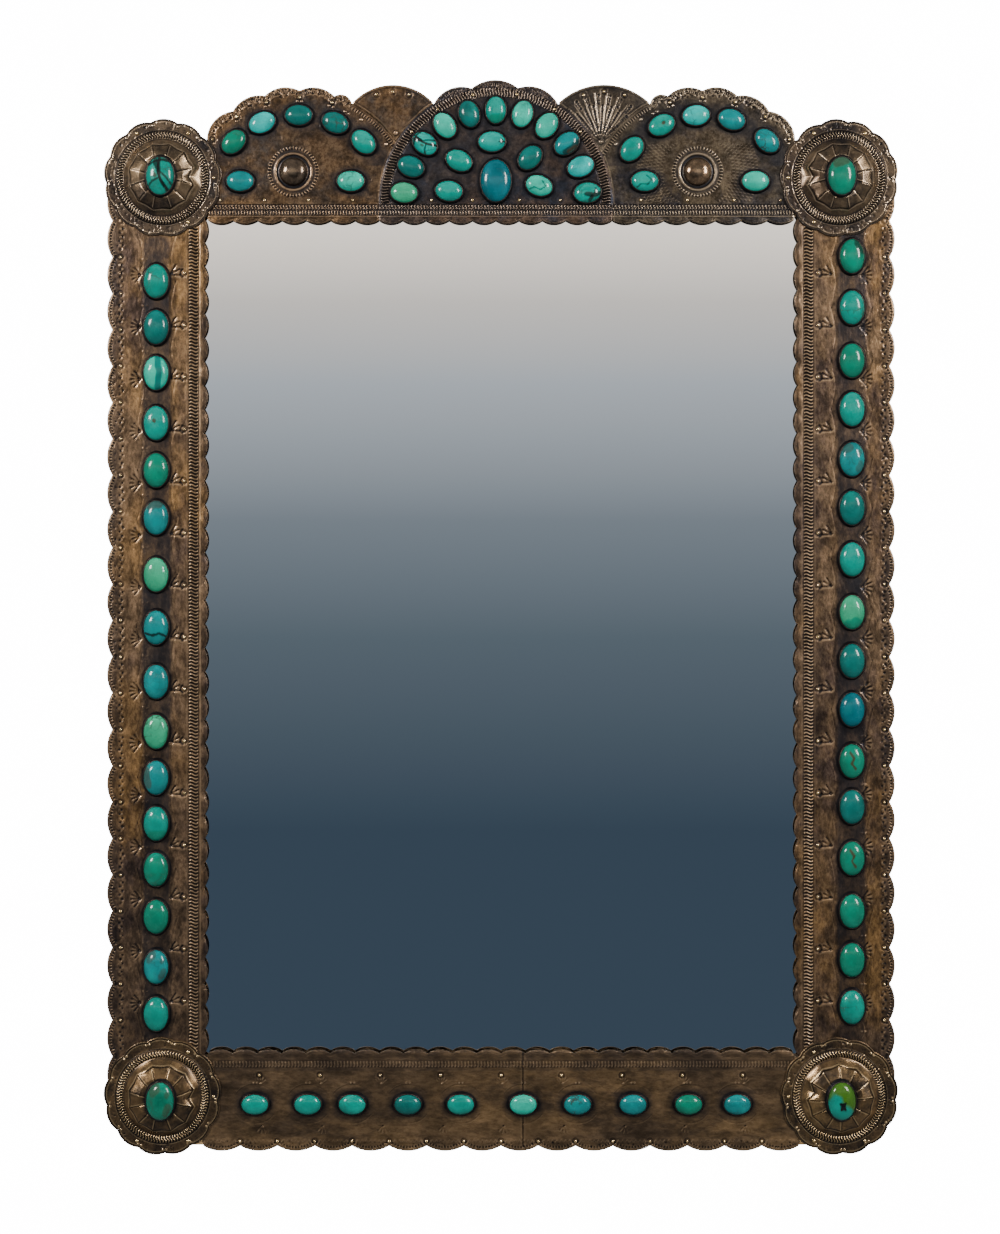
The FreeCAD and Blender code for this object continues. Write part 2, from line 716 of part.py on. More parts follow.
def concho_pins():
    """Four pins through each concho's rim, where the wood behind it is widest."""
    made = []
    for side in (-1, 1):
        for level in (-1, 1):
            for turn in CONCHO_PIN_TURNS:
                spot = polar(0, 0, CONCHO_PIN_R, turn)
                x, z = side * (CORNER_X - spot.x), level * (CORNER_Z - spot.z)
                made.append(pin(x, z, FRONT_Y - CONCHO_SHEET))
    return Part.makeCompound(made)


def six_corners(x, z, radius, y):
    """The corners of a screw's head or shank."""
    return [polar(x, z, radius, 360.0 * i / HEAD_SIDES, y) for i in range(HEAD_SIDES)]


def screw_head(x, z, under_head):
    """A six-sided head."""
    return facet(six_corners(x, z, HEAD_R, under_head)).extrude(FreeCAD.Vector(0, HEAD_HIGH, 0))


def hanger_screw(side):
    """A screw with a tapered shank, through the strap into the stile."""
    x, z = side * HANGER_X, EYE_Z - SCREW_DROP
    shank = spire([six_corners(x, z, HANGER_SCREW_R, STRAP_THICK)], at(x, z, -SCREW_DEEP))
    return screw_head(x, z, STRAP_THICK).fuse(shank).removeSplitter()


def pivot_screw(x, z):
    """A turn button's screw: its round shank is the pivot."""
    under_head = 2 * BUTTON_LIFT + BUTTON_THICK
    shank = disc(x, z, PIVOT_R, -SCREW_DEEP, under_head + SCREW_DEEP)
    return screw_head(x, z, under_head).fuse(shank)


def hanger_strap(side):
    """A flat strap rolled round the ring's bar at its top, with a screw hole."""
    x0, x1 = -STRAP_WIDE / 2, STRAP_WIDE / 2
    leaf = box(x0, x1, 0, STRAP_THICK, -STRAP_LONG, 0)
    start, across = FreeCAD.Vector(x0, EYE_Y, 0), FreeCAD.Vector(1, 0, 0)
    rolled = []
    for i in range(KNUCKLE_SIDES):
        turn = 2 * math.pi * (i + 0.5) / KNUCKLE_SIDES
        reach = EYE_R + STRAP_THICK
        rolled.append(at(x0, reach * math.sin(turn), EYE_Y + reach * math.cos(turn)))
    knuckle = facet(rolled).extrude(across * STRAP_WIDE)
    eye = Part.makeCylinder(EYE_R, STRAP_WIDE, start, across)
    hole = facet(six_corners(0, -SCREW_DROP, HANGER_SCREW_R, 0))
    strap = leaf.fuse(knuckle).cut([eye, hole.extrude(FreeCAD.Vector(0, STRAP_THICK, 0))])
    strap.translate(at(side * HANGER_X, EYE_Z))
    return strap


def hanger_ring(side):
    """A D ring that hangs down: a bow of bent wire on a bar that turns in the strap's eye."""
    rings = []
    for step in range(BOW_STEPS + 1):
        turn = math.pi * step / BOW_STEPS
        points = []
        for i in range(WIRE_SIDES):
            round_wire = 2 * math.pi * i / WIRE_SIDES
            reach = RING_R + WIRE_R * math.cos(round_wire)
            depth = WIRE_R * math.sin(round_wire)
            points.append(at(reach * math.cos(turn), -reach * math.sin(turn), depth))
        rings.append(points)
    long = RING_R + WIRE_R
    bar = Part.makeCylinder(WIRE_R, 2 * long, FreeCAD.Vector(-long, 0, 0), FreeCAD.Vector(1, 0, 0))
    ring = bar.fuse(stack(rings))
    ring.translate(at(side * HANGER_X, EYE_Z, EYE_Y))
    return ring


def turn_button(side, z):
    """A flat tongue that reaches from its screw on the stile over the backing board."""
    tip, tail, half, cut = BUTTON_REACH, BUTTON_TAIL, BUTTON_HALF, BUTTON_CHAMFER
    outline = (
        (-tail, cut - half),
        (cut - tail, -half),
        (tip - cut, -half),
        (tip, cut - half),
        (tip, half - cut),
        (tip - cut, half),
        (cut - tail, half),
        (-tail, half - cut),
    )
    x = side * BUTTON_X
    corners = [at(x - side * along, z + across, BUTTON_LIFT) for along, across in outline]
    blade = facet(corners).extrude(FreeCAD.Vector(0, BUTTON_THICK, 0))
    return blade.cut(disc(x, z, PIVOT_R + PIVOT_GAP, 0, 2 * BUTTON_THICK))


def hardware():
    made = {
        "left_hanger_strap": hanger_strap(-1),
        "right_hanger_strap": hanger_strap(1),
        "left_hanger_ring": hanger_ring(-1),
        "right_hanger_ring": hanger_ring(1),
        "hanger_screws": Part.makeCompound([hanger_screw(-1), hanger_screw(1)]),
    }
    pivots = []
    for side, hand in ((-1, "left"), (1, "right")):
        for z, level in ((BUTTON_Z, "top"), (-BUTTON_Z, "bottom")):
            made["turn_button_%s_%s" % (level, hand)] = turn_button(side, z)
            pivots.append(pivot_screw(side * BUTTON_X, z))
    made["turn_button_screws"] = Part.makeCompound(pivots)
    pads = []
    for side in (-1, 1):
        pad = stack([even_ring(BUMPER_SIDES, BUMPER_R, y) for y in (0, BUMPER_HIGH)])
        pad.translate(at(side * BUMPER_X, BUMPER_Z))
        pads.append(pad)
    made["wall_bumpers"] = Part.makeCompound(pads)
    return made


def all_parts():
    made = {}
    made.update(wooden_frame())
    made.update(glass_and_back())
    made.update(silver_sheets())
    made.update(conchos())
    made["crest_left_boss"] = boss(-1)
    made["crest_right_boss"] = boss(1)
    made.update(stones())
    made["left_side_pins"] = side_pins(-1)
    made["right_side_pins"] = side_pins(1)
    made["bottom_pins"] = bottom_pins()
    made["crest_pins"] = crest_pins()
    made["concho_pins"] = concho_pins()
    made.update(hardware())
    return made


os.makedirs("parts", exist_ok=True)
for node, shape in all_parts().items():
    shape.translate(at(0, -HANG_Z))
    shape.exportStep(os.path.join("parts", node + ".step"))
    solids = shape.Solids
    volume = sum(solid.Volume for solid in solids) / 1000
    print("%-26s %3d solids %9.2f cm3 valid %s" % (node, len(solids), volume, shape.isValid()))
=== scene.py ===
import math

import bpy
import numpy as np
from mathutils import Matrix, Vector


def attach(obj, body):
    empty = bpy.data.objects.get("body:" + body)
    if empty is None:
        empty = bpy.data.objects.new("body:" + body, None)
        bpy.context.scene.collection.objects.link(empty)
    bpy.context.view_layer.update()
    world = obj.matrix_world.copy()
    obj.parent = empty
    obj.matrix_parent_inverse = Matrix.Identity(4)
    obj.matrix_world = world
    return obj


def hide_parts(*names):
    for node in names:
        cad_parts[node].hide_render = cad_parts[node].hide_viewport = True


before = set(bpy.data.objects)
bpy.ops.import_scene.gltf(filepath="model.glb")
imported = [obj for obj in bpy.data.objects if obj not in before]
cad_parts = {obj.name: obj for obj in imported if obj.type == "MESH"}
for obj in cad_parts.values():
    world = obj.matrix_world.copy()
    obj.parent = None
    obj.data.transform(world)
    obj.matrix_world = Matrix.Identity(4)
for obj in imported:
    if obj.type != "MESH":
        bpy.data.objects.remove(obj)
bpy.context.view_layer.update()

# Lengths are millimetres about the middle of the glass until a mesh is made, which
# shifts them to the frame's origin and turns them into metres.
MM = 0.001
GLASS_Z = -315.0
BODY = "mirror"

# Layout of the frame, as the solids have it
CORNER_X, CORNER_Z = 243.5, 330.5
FRONT_Y = -16.0
BACK_Y = -15.02
CUSP_OUT_X, CUSP_IN_X = 280.0, 214.0
CUSP_IN_Z, CUSP_OUT_Z = 300.0, 366.5
OUTER_BULGE, INNER_BULGE = 3.7, 2.7
SIDE_OUTER, SIDE_OUTER_ROW = 25, (-328.2, 325.8)
SIDE_INNER, SIDE_INNER_ROW = 37, (-318.6, 319.0)
END_X, BUTT_GAP = 214.6, 0.2
STEP_X = CUSP_IN_X - INNER_BULGE - BUTT_GAP
BOTTOM_OUTER, BOTTOM_INNER = 16, 24
ARCH_X, ARCH_Z, ARCH_R, ARCH_LOBE = 145.5, 309.5, 84.0, 3.2
ARCH_CUSPS = (27.0, 17.7, 0.3, -17.1, -34.5, -51.9)
MIDDLE_X, MIDDLE_Z, MIDDLE_R, MIDDLE_LOBE = -3.7, 312.8, 84.2, 4.2
MIDDLE_CUSPS = (-32.0, -12.0, 11.0, 32.0)
FAN_DX, FAN_TOP_Z = 74.3, 397.6
CREST_SIDE_SCALLOPS, CREST_MIDDLE_SCALLOPS = 7, 10
SIDES = {-1: "left", 1: "right"}

rng = np.random.default_rng(7)


def at(*point):
    """A point in the frame, in metres, from millimetres about the middle of the glass."""
    x, y, z = point
    return Vector((x * MM, y * MM, (z + GLASS_Z) * MM))


# Camera and stage

PHOTO_H = 1234            # pixels
PHOTO_MM = 0.72           # of the object to a pixel of the photograph
VIEW_X, VIEW_Z = -0.7, 14.4    # what the middle of the photograph looks at
CAMERA_Y = -1516.0
CAMERA_RISE = 120.0       # the camera stands higher than the middle of its picture


def make_camera():
    """Square on to the mirror, a little above its middle, with the shift that this needs."""
    data = bpy.data.cameras.new("camera")
    camera = bpy.data.objects.new("camera", data)
    bpy.context.scene.collection.objects.link(camera)
    camera.location = at(VIEW_X, CAMERA_Y, VIEW_Z + CAMERA_RISE)
    camera.rotation_euler = (math.radians(90), 0, 0)
    seen = PHOTO_H * PHOTO_MM
    data.sensor_width = 36.0
    data.lens = data.sensor_width * (FRONT_Y - CAMERA_Y) / seen
    data.shift_y = -CAMERA_RISE / seen
    data.clip_start, data.clip_end = 0.05, 60.0
    bpy.context.scene.camera = camera


class Material:
    """A node material, with short calls for the nodes that it takes."""

    def __init__(self, name):
        self.material = bpy.data.materials.new(name)
        self.material.use_nodes = True
        self.tree = self.material.node_tree
        self.tree.nodes.clear()
        self.out = self.tree.nodes.new("ShaderNodeOutputMaterial")

    def node(self, kind, settings=(), **inputs):
        made = self.tree.nodes.new("ShaderNode" + kind)
        for key, value in dict(settings).items():
            setattr(made, key, value)
        for key, value in inputs.items():
            self.put(made, key.replace("_", " "), value)
        return made

    def put(self, node, key, value):
        socket = node.inputs[int(key)] if key.isdigit() else node.inputs[key]
        if isinstance(value, bpy.types.NodeSocket):
            self.tree.links.new(value, socket)
        elif isinstance(value, tuple) and socket.type == "RGBA" and len(value) == 3:
            socket.default_value = (*value, 1.0)
        else:
            socket.default_value = value

    def shade(self, kind, **inputs):
        """Sends a shader of this kind to the output, and gives the finished material."""
        shader = self.node(kind, **inputs)
        self.tree.links.new(shader.outputs[0], self.out.inputs["Surface"])
        return self.material

    def place(self):
        return self.node("TexCoord").outputs["Object"]

    def scaled(self, place, scale, turn=(0.0, 0.0, 0.0)):
        return self.node("Mapping", Vector=place, Rotation=turn, Scale=scale).outputs[0]

    def parts(self, vector):
        return self.node("SeparateXYZ", Vector=vector).outputs

    def noise(self, scale, detail=3.0, roughness=0.55, at_place=None):
        where = self.place() if at_place is None else at_place
        made = self.node("TexNoise", Vector=where, Scale=scale, Detail=detail, Roughness=roughness)
        return made.outputs["Fac"]

    def ramp(self, fac, *stops):
        """A colour ramp: stops are (place, colour or grey)."""
        made = self.node("ValToRGB", Fac=fac)
        elements = made.color_ramp.elements
        while len(elements) < len(stops):
            elements.new(0.5)
        for element, (place, colour) in zip(elements, stops):
            element.position = place
            colour = colour if isinstance(colour, tuple) else (colour,) * 3
            element.color = (*colour, 1.0)
        return made.outputs["Color"]

    def cloud(self, noise, *stops):
        """Noise, as (scale, detail, roughness, place), through a ramp."""
        return self.ramp(self.noise(*noise), *stops)

    def fade(self, value, start, end):
        """0 at start, 1 at end and a straight line between."""
        return self.node("MapRange", Value=value, From_Min=start, From_Max=end).outputs["Result"]

    def mix(self, fac, a, b, blend="MIX"):
        made = self.node("Mix", {"data_type": "RGBA", "blend_type": blend}, **{"0": fac, "6": a, "7": b})
        return made.outputs[2]

    def shaded(self, tone, shade):
        return self.mix(1.0, tone, shade, "MULTIPLY")

    def maths(self, operation, a, b=0.0, clamp=False):
        made = self.node("Math", {"operation": operation, "use_clamp": clamp}, **{"0": a, "1": b})
        return made.outputs[0]

    def times(self, a, b, clamp=False):
        return self.maths("MULTIPLY", a, b, clamp)

    def attribute(self, name):
        return self.node("Attribute", {"attribute_name": name}).outputs

    def bump(self, height, strength, distance):
        return self.node("Bump", Height=height, Strength=strength, Distance=distance).outputs["Normal"]


def srgb(red, green, blue):
    """A colour named by its 8-bit screen values, as linear light."""
    shares = (v / 255 for v in (red, green, blue))
    return tuple(v / 12.92 if v <= 0.04045 else ((v + 0.055) / 1.055) ** 2.4 for v in shares)


def stage_piece(name, points, faces, material, *unseen_by):
    """A surface of the studio, which some kinds of rays don't meet."""
    mesh = bpy.data.meshes.new(name)
    mesh.from_pydata(points, [], faces)
    mesh.materials.append(material)
    mesh.shade_smooth()
    piece = bpy.data.objects.new(name, mesh)
    for rays in unseen_by:
        setattr(piece, "visible_" + rays, False)
    bpy.context.scene.collection.objects.link(piece)


def make_sweep():
    """A white sweep that only the camera sees."""
    m = Material("studio_floor")
    white = m.shade("Emission", Color=m.cloud((3.0,), (0.3, 0.97), (0.7, 1.0)), Strength=16.0)
    low, near, far, high, wide, bend, steps = -0.75, -5.0, 3.6, 4.0, 6.0, 1.2, 8
    profile = [(near, low), (far - bend, low)]
    for step in range(1, steps + 1):
        turn = math.pi / 2 * step / steps
        profile.append((far - bend + bend * math.sin(turn), low + bend * (1 - math.cos(turn))))
    profile.append((far, high))
    points = [(x, y, z) for y, z in profile for x in (-wide, wide)]
    faces = [(2 * i, 2 * i + 1, 2 * i + 3, 2 * i + 2) for i in range(len(profile) - 1)]
    stage_piece("studio_floor", points, faces, white, "diffuse", "glossy")


def make_card():
    """A card in front of the mirror, graded from dark blue to a pale warm grey, for its reflection."""
    m = Material("reflection_card")
    grade = m.ramp(
        m.fade(m.parts(m.place())["Z"], -1.9, 0.5),
        (0.30, (0.031, 0.047, 0.069)),
        (0.51, (0.074, 0.096, 0.118)),
        (0.64, (0.14, 0.163, 0.19)),
        (0.79, (0.34, 0.365, 0.40)),
        (0.88, (0.56, 0.52, 0.49)),
        (0.96, (0.93, 0.83, 0.74)),
    )
    glow = m.shade("Emission", Color=grade, Strength=1.5)
    y, half, low, high = -4.0, 2.0, -2.4, 0.9
    points = [(-half, y, low), (half, y, low), (half, y, high), (-half, y, high)]
    stage_piece("reflection_card", points, [(0, 3, 2, 1)], glow, "camera", "diffuse", "shadow")


def make_world():
    """Dim light from all round."""
    world = bpy.data.worlds.new("studio")
    bpy.context.scene.world = world
    world.use_nodes = True
    tree = world.node_tree
    tree.nodes.clear()
    out = tree.nodes.new("ShaderNodeOutputWorld")
    light = tree.nodes.new("ShaderNodeBackground")
    light.inputs["Color"].default_value = (0.90, 0.94, 1.0, 1.0)
    light.inputs["Strength"].default_value = 0.34
    tree.links.new(light.outputs[0], out.inputs["Surface"])


def softbox(name, place, target, size, power, colour=(1.0, 1.0, 1.0)):
    data = bpy.data.lights.new(name, "AREA")
    data.shape = "RECTANGLE"
    data.size, data.size_y = size
    data.energy = power
    data.color = colour
    lamp = bpy.data.objects.new(name, data)
    lamp.location = place
    lamp.rotation_euler = (Vector(target) - Vector(place)).to_track_quat("-Z", "Y").to_euler()
    bpy.context.scene.collection.objects.link(lamp)
    return lamp


def make_lights():
    middle = (0.0, 0.0, -0.25)
    warm = (1.0, 0.95, 0.88)
    softbox("left_softbox", (-1.45, -1.35, 0.45), middle, (0.45, 0.5), 52.0, warm)
    softbox("right_softbox", (1.45, -1.35, 0.42), middle, (0.42, 0.85), 56.0, warm)
    softbox("top_softbox", (0.0, -1.2, 2.4), middle, (2.0, 1.2), 40.0).visible_glossy = False
    softbox("back_softbox", (0.6, 2.4, 1.6), middle, (1.6, 1.6), 45.0)


# Meshes

def make_piece(name, points, faces, material, slot, replaces, body=BODY, angle=40.0, marks=None):
    """A visible piece. faces is a list of arrays, each of faces with one number of corners."""
    placed = (points + (0.0, 0.0, GLASS_Z)) * MM
    mesh = bpy.data.meshes.new(name)
    mesh.vertices.add(len(placed))
    mesh.vertices.foreach_set("co", placed.astype(np.float32).ravel())
    corners = np.concatenate([group.ravel() for group in faces]).astype(np.int32)
    mesh.loops.add(len(corners))
    mesh.loops.foreach_set("vertex_index", corners)
    sizes = np.concatenate([np.full(len(group), group.shape[1]) for group in faces])
    mesh.polygons.add(len(sizes))
    mesh.polygons.foreach_set("loop_start", (np.cumsum(sizes) - sizes).astype(np.int32))
    mesh.update(calc_edges=True)
    mesh.validate()
    for mark, values in (marks or {}).items():
        kind, field = ("FLOAT", "value") if values.ndim == 1 else ("FLOAT_VECTOR", "vector")
        layer = mesh.attributes.new(mark, kind, "POINT")
        layer.data.foreach_set(field, values.astype(np.float32).ravel())
    mesh.shade_smooth()
    mesh.set_sharp_from_angle(angle=math.radians(angle))
    mesh.materials.append(material)
    piece = bpy.data.objects.new(name, mesh)
    bpy.context.scene.collection.objects.link(piece)
    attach(piece, body)
    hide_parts(*replaces)


def joined(parts):
    """Points, faces and marks of several (points, [faces], {marks}) as one mesh's."""
    points, groups, marks, start = [], {}, {}, 0
    for part_points, part_faces, part_marks in parts:
        points.append(part_points)
        for group in part_faces:
            groups.setdefault(group.shape[1], []).append(group + start)
        for key, values in part_marks.items():
            marks.setdefault(key, []).append(values)
        start += len(part_points)
    faces = [np.concatenate(group) for group in groups.values()]
    return np.concatenate(points), faces, {key: np.concatenate(v) for key, v in marks.items()}


def lathe(rings, loop=False):
    """Points and faces of a stack of rings, (levels, count, 3), capped or closed on itself."""
    levels, count = rings.shape[:2]
    level, i = np.meshgrid(np.arange(levels if loop else levels - 1), np.arange(count), indexing="ij")
    a, b, j = level * count, (level + 1) % levels * count, (i + 1) % count
    faces = [np.stack([a + i, a + j, b + j, b + i], -1).reshape(-1, 4)]
    if not loop:
        rim = np.arange(count)[None, :]
        faces += [rim[:, ::-1], rim + (levels - 1) * count]
    return rings.reshape(-1, 3), faces


# Curves over a distance, for heights and masks

def smooth(low, high, value):
    """0 below low, 1 above high, a line between."""
    return np.clip((value - low) / (high - low), 0, 1)


def ridge(x, width):
    """1 at 0, falling to 0 at the width to either hand."""
    return np.clip(1 - (x / width) ** 2, 0, 1)


def bell(x, width):
    return np.exp(-((x / width) ** 2))


LEVEL = 0.5               # worn value of a surface that is level with what is round it


def worn_of(high, strength=1.9):
    """How far each point of a height field stands above what is round it."""
    blur = high.copy()
    for axis in (0, 0, 1, 1):
        blur = sum(np.roll(blur, k, axis) for k in (-2, -1, 0, 1, 2)) / 5
    return np.clip(LEVEL + strength * (high - blur), 0, 1)


def share_along(dx, dz, way):
    """How far along a segment, from 0 to 1, it comes nearest to offsets from its start."""
    return np.clip((dx * way[0] + dz * way[1]) / max(way @ way, 1e-9), 0, 1)


def path_gap(x, z, path, most):
    """Distance from points to a path, and at most the last value."""
    gap = np.full(x.shape, most)
    for start, way in zip(path, np.diff(path, axis=0)):
        dx, dz = x - start[0], z - start[1]
        share = share_along(dx, dz, way)
        gap = np.minimum(gap, np.hypot(dx - share * way[0], dz - share * way[1]))
    return gap


# Outlines of the sheets, as points (x, z) seen from the front

def bow(start, end, bulge, count=12):
    """Points from start up to, but not at, end on an arc that bulges to the left of the way."""
    start, end = np.array(start, float), np.array(end, float)
    chord = end - start
    half = 2 * math.atan(2 * abs(bulge) / np.linalg.norm(chord))
    left = np.array((-chord[1], chord[0])) / np.linalg.norm(chord)
    turns = np.linspace(-half, half, count, endpoint=False)
    along = (np.sin(turns) / math.sin(half) + 1) / 2
    out = (np.cos(turns) - math.cos(half)) / (1 - math.cos(half)) * bulge
    return start + along[:, None] * chord + out[:, None] * left


def polar(cx, cz, radius, degrees):
    """A point on a circle, with the angle taken clockwise from upright."""
    turn = np.radians(degrees)
    return np.stack([cx + radius * np.sin(turn), cz + radius * np.cos(turn)], -1)


def row_of_bows(start, end, count, bulge):
    """(start, end, bulge) for each scallop of a row."""
    ends = np.linspace(start, end, count + 1)
    return [(a, b, bulge) for a, b in zip(ends, ends[1:])]


def lobe_bows(cx, cz, radius, bulge, cusps):
    made = []
    for first, last in zip(cusps, cusps[1:]):
        rise = radius + bulge - radius * math.cos(math.radians(last - first) / 2)
        sign = 1 if last > first else -1
        made.append((polar(cx, cz, radius, first), polar(cx, cz, radius, last), sign * rise))
    return made


def outline_of(*pieces):
    """One closed outline from points and bows in order."""
    rows = []
    for piece in pieces:
        if isinstance(piece, list) and len(piece[0]) == 3:
            rows += [bow(*scallop) for scallop in piece]
        else:
            rows.append(np.atleast_2d(np.array(piece, float)))
    return np.concatenate(rows)


def fan_ends(side):
    outer = polar(side * ARCH_X, ARCH_Z, ARCH_R, -side * ARCH_CUSPS[0])
    inner = polar(MIDDLE_X, MIDDLE_Z, MIDDLE_R, MIDDLE_CUSPS[0] if side < 0 else MIDDLE_CUSPS[-1])
    return outer, inner


def arch_meeting(side):
    """The point low in the gap where the side arch and the middle arch cross."""
    dx, dz = side * ARCH_X - MIDDLE_X, ARCH_Z - MIDDLE_Z
    apart = math.hypot(dx, dz)
    along = (MIDDLE_R**2 - ARCH_R**2 + apart**2) / (2 * apart)
    up = math.sqrt(MIDDLE_R**2 - along**2)
    ux, uz = dx / apart, dz / apart
    return np.array((MIDDLE_X + ux * along - side * uz * up, MIDDLE_Z + uz * along + side * ux * up))


def angle_of(point, cx, cz):
    return math.degrees(math.atan2(point[0] - cx, point[1] - cz))


def way_round(cx, cz, radius, start, end, count=24):
    """Points round a circle from start to end, the short way."""
    turns = np.linspace(angle_of(start, cx, cz), angle_of(end, cx, cz), count)
    return polar(cx, cz, radius, turns)


# A stamped sheet as a grid of heights

EDGE_REACH = 7.0          # how far in from the outline distances are known
EDGE_ROUND = 0.9          # how far in from the outline the sheet turns down
SNAP = 0.24               # grid points nearer the outline than this are left out
BARS_OUT, BARS_FAR = 1.5, 1.6    # a row of bars is marked this far across, in half widths
MARKS_RIM = {"worn": LEVEL, "dark": 0.4, "bars": 0.0}


class Sheet:
    """Heights over a flat outline, cut out and given its thickness when it becomes a mesh.

    high has the fine marks, which are seen as wear and dirt too, and slow the broad forms.
    dark is dirt and painted shade, from 0 to 1. bars has the place across and along a row of bars, and its
    depth.
    """

    def __init__(self, outline, step, columns=None):
        self.outline = outline
        low, high = outline.min(0) - 2 * step, outline.max(0) + 2 * step
        self.x = np.arange(low[0], high[0], step) if columns is None else columns
        self.z = np.arange(low[1], high[1], step)
        self.X, self.Z = np.meshgrid(self.x, self.z, indexing="ij")
        self.high, self.slow, self.dark = (np.zeros(self.X.shape) for _ in range(3))
        self.bars = np.zeros(self.X.shape + (3,))
        self.bars[..., 0] = BARS_FAR
        self.find_edge()

    def box(self, low, high):
        """The part of the grid between two corners."""
        spans = zip((self.x, self.z), zip(low, high))
        return tuple(slice(*np.searchsorted(line, span)) for line, span in spans)

    def window(self, x, z, reach):
        """The part of the grid within reach of a point, and the offsets from it."""
        part = self.box((x - reach, z - reach), (x + reach, z + reach))
        return part, self.X[part] - x, self.Z[part] - z

    def about(self, x, z):
        """Distance of the grid's points from a point, and their angle clockwise from upright."""
        return np.hypot(self.X - x, self.Z - z), np.arctan2(self.X - x, self.Z - z)

    def find_edge(self):
        """Which grid points are inside, how far from the outline, and its point nearest to each."""
        self.edge = np.full(self.X.shape, EDGE_REACH)
        self.near_x, self.near_z = self.X.copy(), self.Z.copy()
        self.along = np.zeros(self.X.shape)
        crossings = np.zeros(self.X.shape, int)
        travelled = 0.0
        for a, b in zip(self.outline, np.roll(self.outline, -1, axis=0)):
            middle, way = (a + b) / 2, b - a
            length = np.linalg.norm(way)
            part, dx, dz = self.window(*middle, length / 2 + EDGE_REACH)
            share = share_along(dx + middle[0] - a[0], dz + middle[1] - a[1], way)
            near_x, near_z = a[0] + share * way[0], a[1] + share * way[1]
            gap = np.hypot(self.X[part] - near_x, self.Z[part] - near_z)
            run = travelled + np.hypot(near_x - a[0], near_z - a[1])
            closer = gap < self.edge[part]
            known = self.edge, self.near_x, self.near_z, self.along
            for values, found in zip(known, (gap, near_x, near_z, run)):
                values[part][closer] = found[closer]
            travelled += length
            if a[1] != b[1]:
                rows = np.arange(*np.searchsorted(self.z, sorted((a[1], b[1]))))
                across = a[0] + (self.z[rows] - a[1]) * (b[0] - a[0]) / (b[1] - a[1])
                columns = np.searchsorted(self.x, across)
                fits = columns < len(self.x)
                np.add.at(crossings, (columns[fits], rows[fits]), 1)
        self.inside = np.cumsum(crossings, axis=0) % 2 == 1

    def dome(self, x, z, radius, high):
        part, dx, dz = self.window(x, z, radius)
        self.high[part] += high * np.sqrt(ridge(np.hypot(dx, dz), radius))

    def dent(self, x, z, radius, deep):
        part, dx, dz = self.window(x, z, radius)
        self.high[part] -= deep * ridge(np.hypot(dx, dz), radius)

    def ring(self, x, z, radius, width, high):
        part, dx, dz = self.window(x, z, radius + width)
        self.high[part] += high * ridge(np.hypot(dx, dz) - radius, width)

    def bulge(self, x, z, across, up, high):
        """A soft oval swelling."""
        part, dx, dz = self.window(x, z, max(across, up))
        self.slow[part] += high * ridge(np.hypot(dx / across, dz / up), 1)

    def soil_and_shade(self, where, strength, part=...):
        """Dirt and painted shade over the part of the sheet that the mask, from 0 to 1, covers."""
        self.dark[part] = np.maximum(self.dark[part], strength * where)

    def patch(self, x, z, across, up, strength):
        """A dark field with rounded corners."""
        part, dx, dz = self.window(x, z, max(across, up) + 3)
        out = ((np.abs(dx) / across) ** 4 + (np.abs(dz) / up) ** 4) ** 0.25
        self.soil_and_shade(smooth(1.12, 0.88, out), strength, part)

    def shade_round_setting(self, x, z, size, lean, reach):
        """Painted shade round a setting, fading outward."""
        part, dx, dz = self.window(x, z, max(size) + 2.2 * reach)
        tilt = math.radians(lean)
        across = dx * math.cos(tilt) - dz * math.sin(tilt)
        up = dx * math.sin(tilt) + dz * math.cos(tilt)
        out = (np.hypot(across / size[0], up / size[1]) - 1) * min(size)
        self.soil_and_shade(bell(np.clip(out, 0, None), reach), 1.0, part)

    def stroke(self, points, width, high):
        """A raised line through points, or an engraved one with high below 0."""
        points = np.asarray(points, float)
        part = self.box(points.min(0) - width, points.max(0) + width)
        self.high[part] += high * ridge(path_gap(self.X[part], self.Z[part], points, width), width)

    def line_x(self, x, width, high):
        """A straight line up the sheet."""
        self.high += high * ridge(self.X - x, width)

    def line_z(self, z, width, high):
        self.high += high * ridge(self.Z - z, width)

    def edge_line(self, where, inset, width, high):
        """A line that follows the outline, where the mask says so."""
        self.high += np.where(where, high * ridge(self.edge - inset, width), 0)

    def edge_ticks(self, where, inset, half, pitch, strength):
        """A row of short dark stamps that follows the outline."""
        across = np.abs(self.edge - inset) / half
        self.stamp_bars(where, across, self.along / pitch, strength)
        self.high -= np.where(where, 0.18 * ridge(across, 1), 0)

    def stamp_bars(self, where, across, turns, strength):
        """Marks a row of bars: how far across it a point lies, and its place along in bars."""
        where = where & (across < BARS_OUT)
        for channel, values in enumerate((np.minimum(across, BARS_FAR), turns, strength)):
            self.bars[..., channel] = np.where(where, values, self.bars[..., channel])

    def band(self, across, along, pitch, crown=0.3, bend=0.5, strength=1.0):
        """A rope band: S-shaped bars, across running from -1 to 1 and along in millimetres."""
        away = np.abs(across)
        turns = along / pitch + bend * np.sin(np.pi * across) / 2
        self.stamp_bars(True, away, turns, strength)
        ends = np.clip(1.6 * (1 - away), 0, 1)
        self.slow += np.where(away < 1, crown * (1 - across**2) + 0.25 * ends * np.cos(2 * np.pi * turns), 0)
        self.high -= 0.3 * bell(away - 1.1, 0.1)

    def waves(self, lengths, amount):
        """Gentle unevenness from hand work, in long and short waves."""
        for length in lengths:
            for _ in range(3):
                turn, phase = rng.uniform(0, 2 * np.pi, 2)
                way = (self.X * math.cos(turn) + self.Z * math.sin(turn)) * 2 * np.pi / length
                self.slow += amount * length / lengths[0] * np.sin(way + phase) / 3

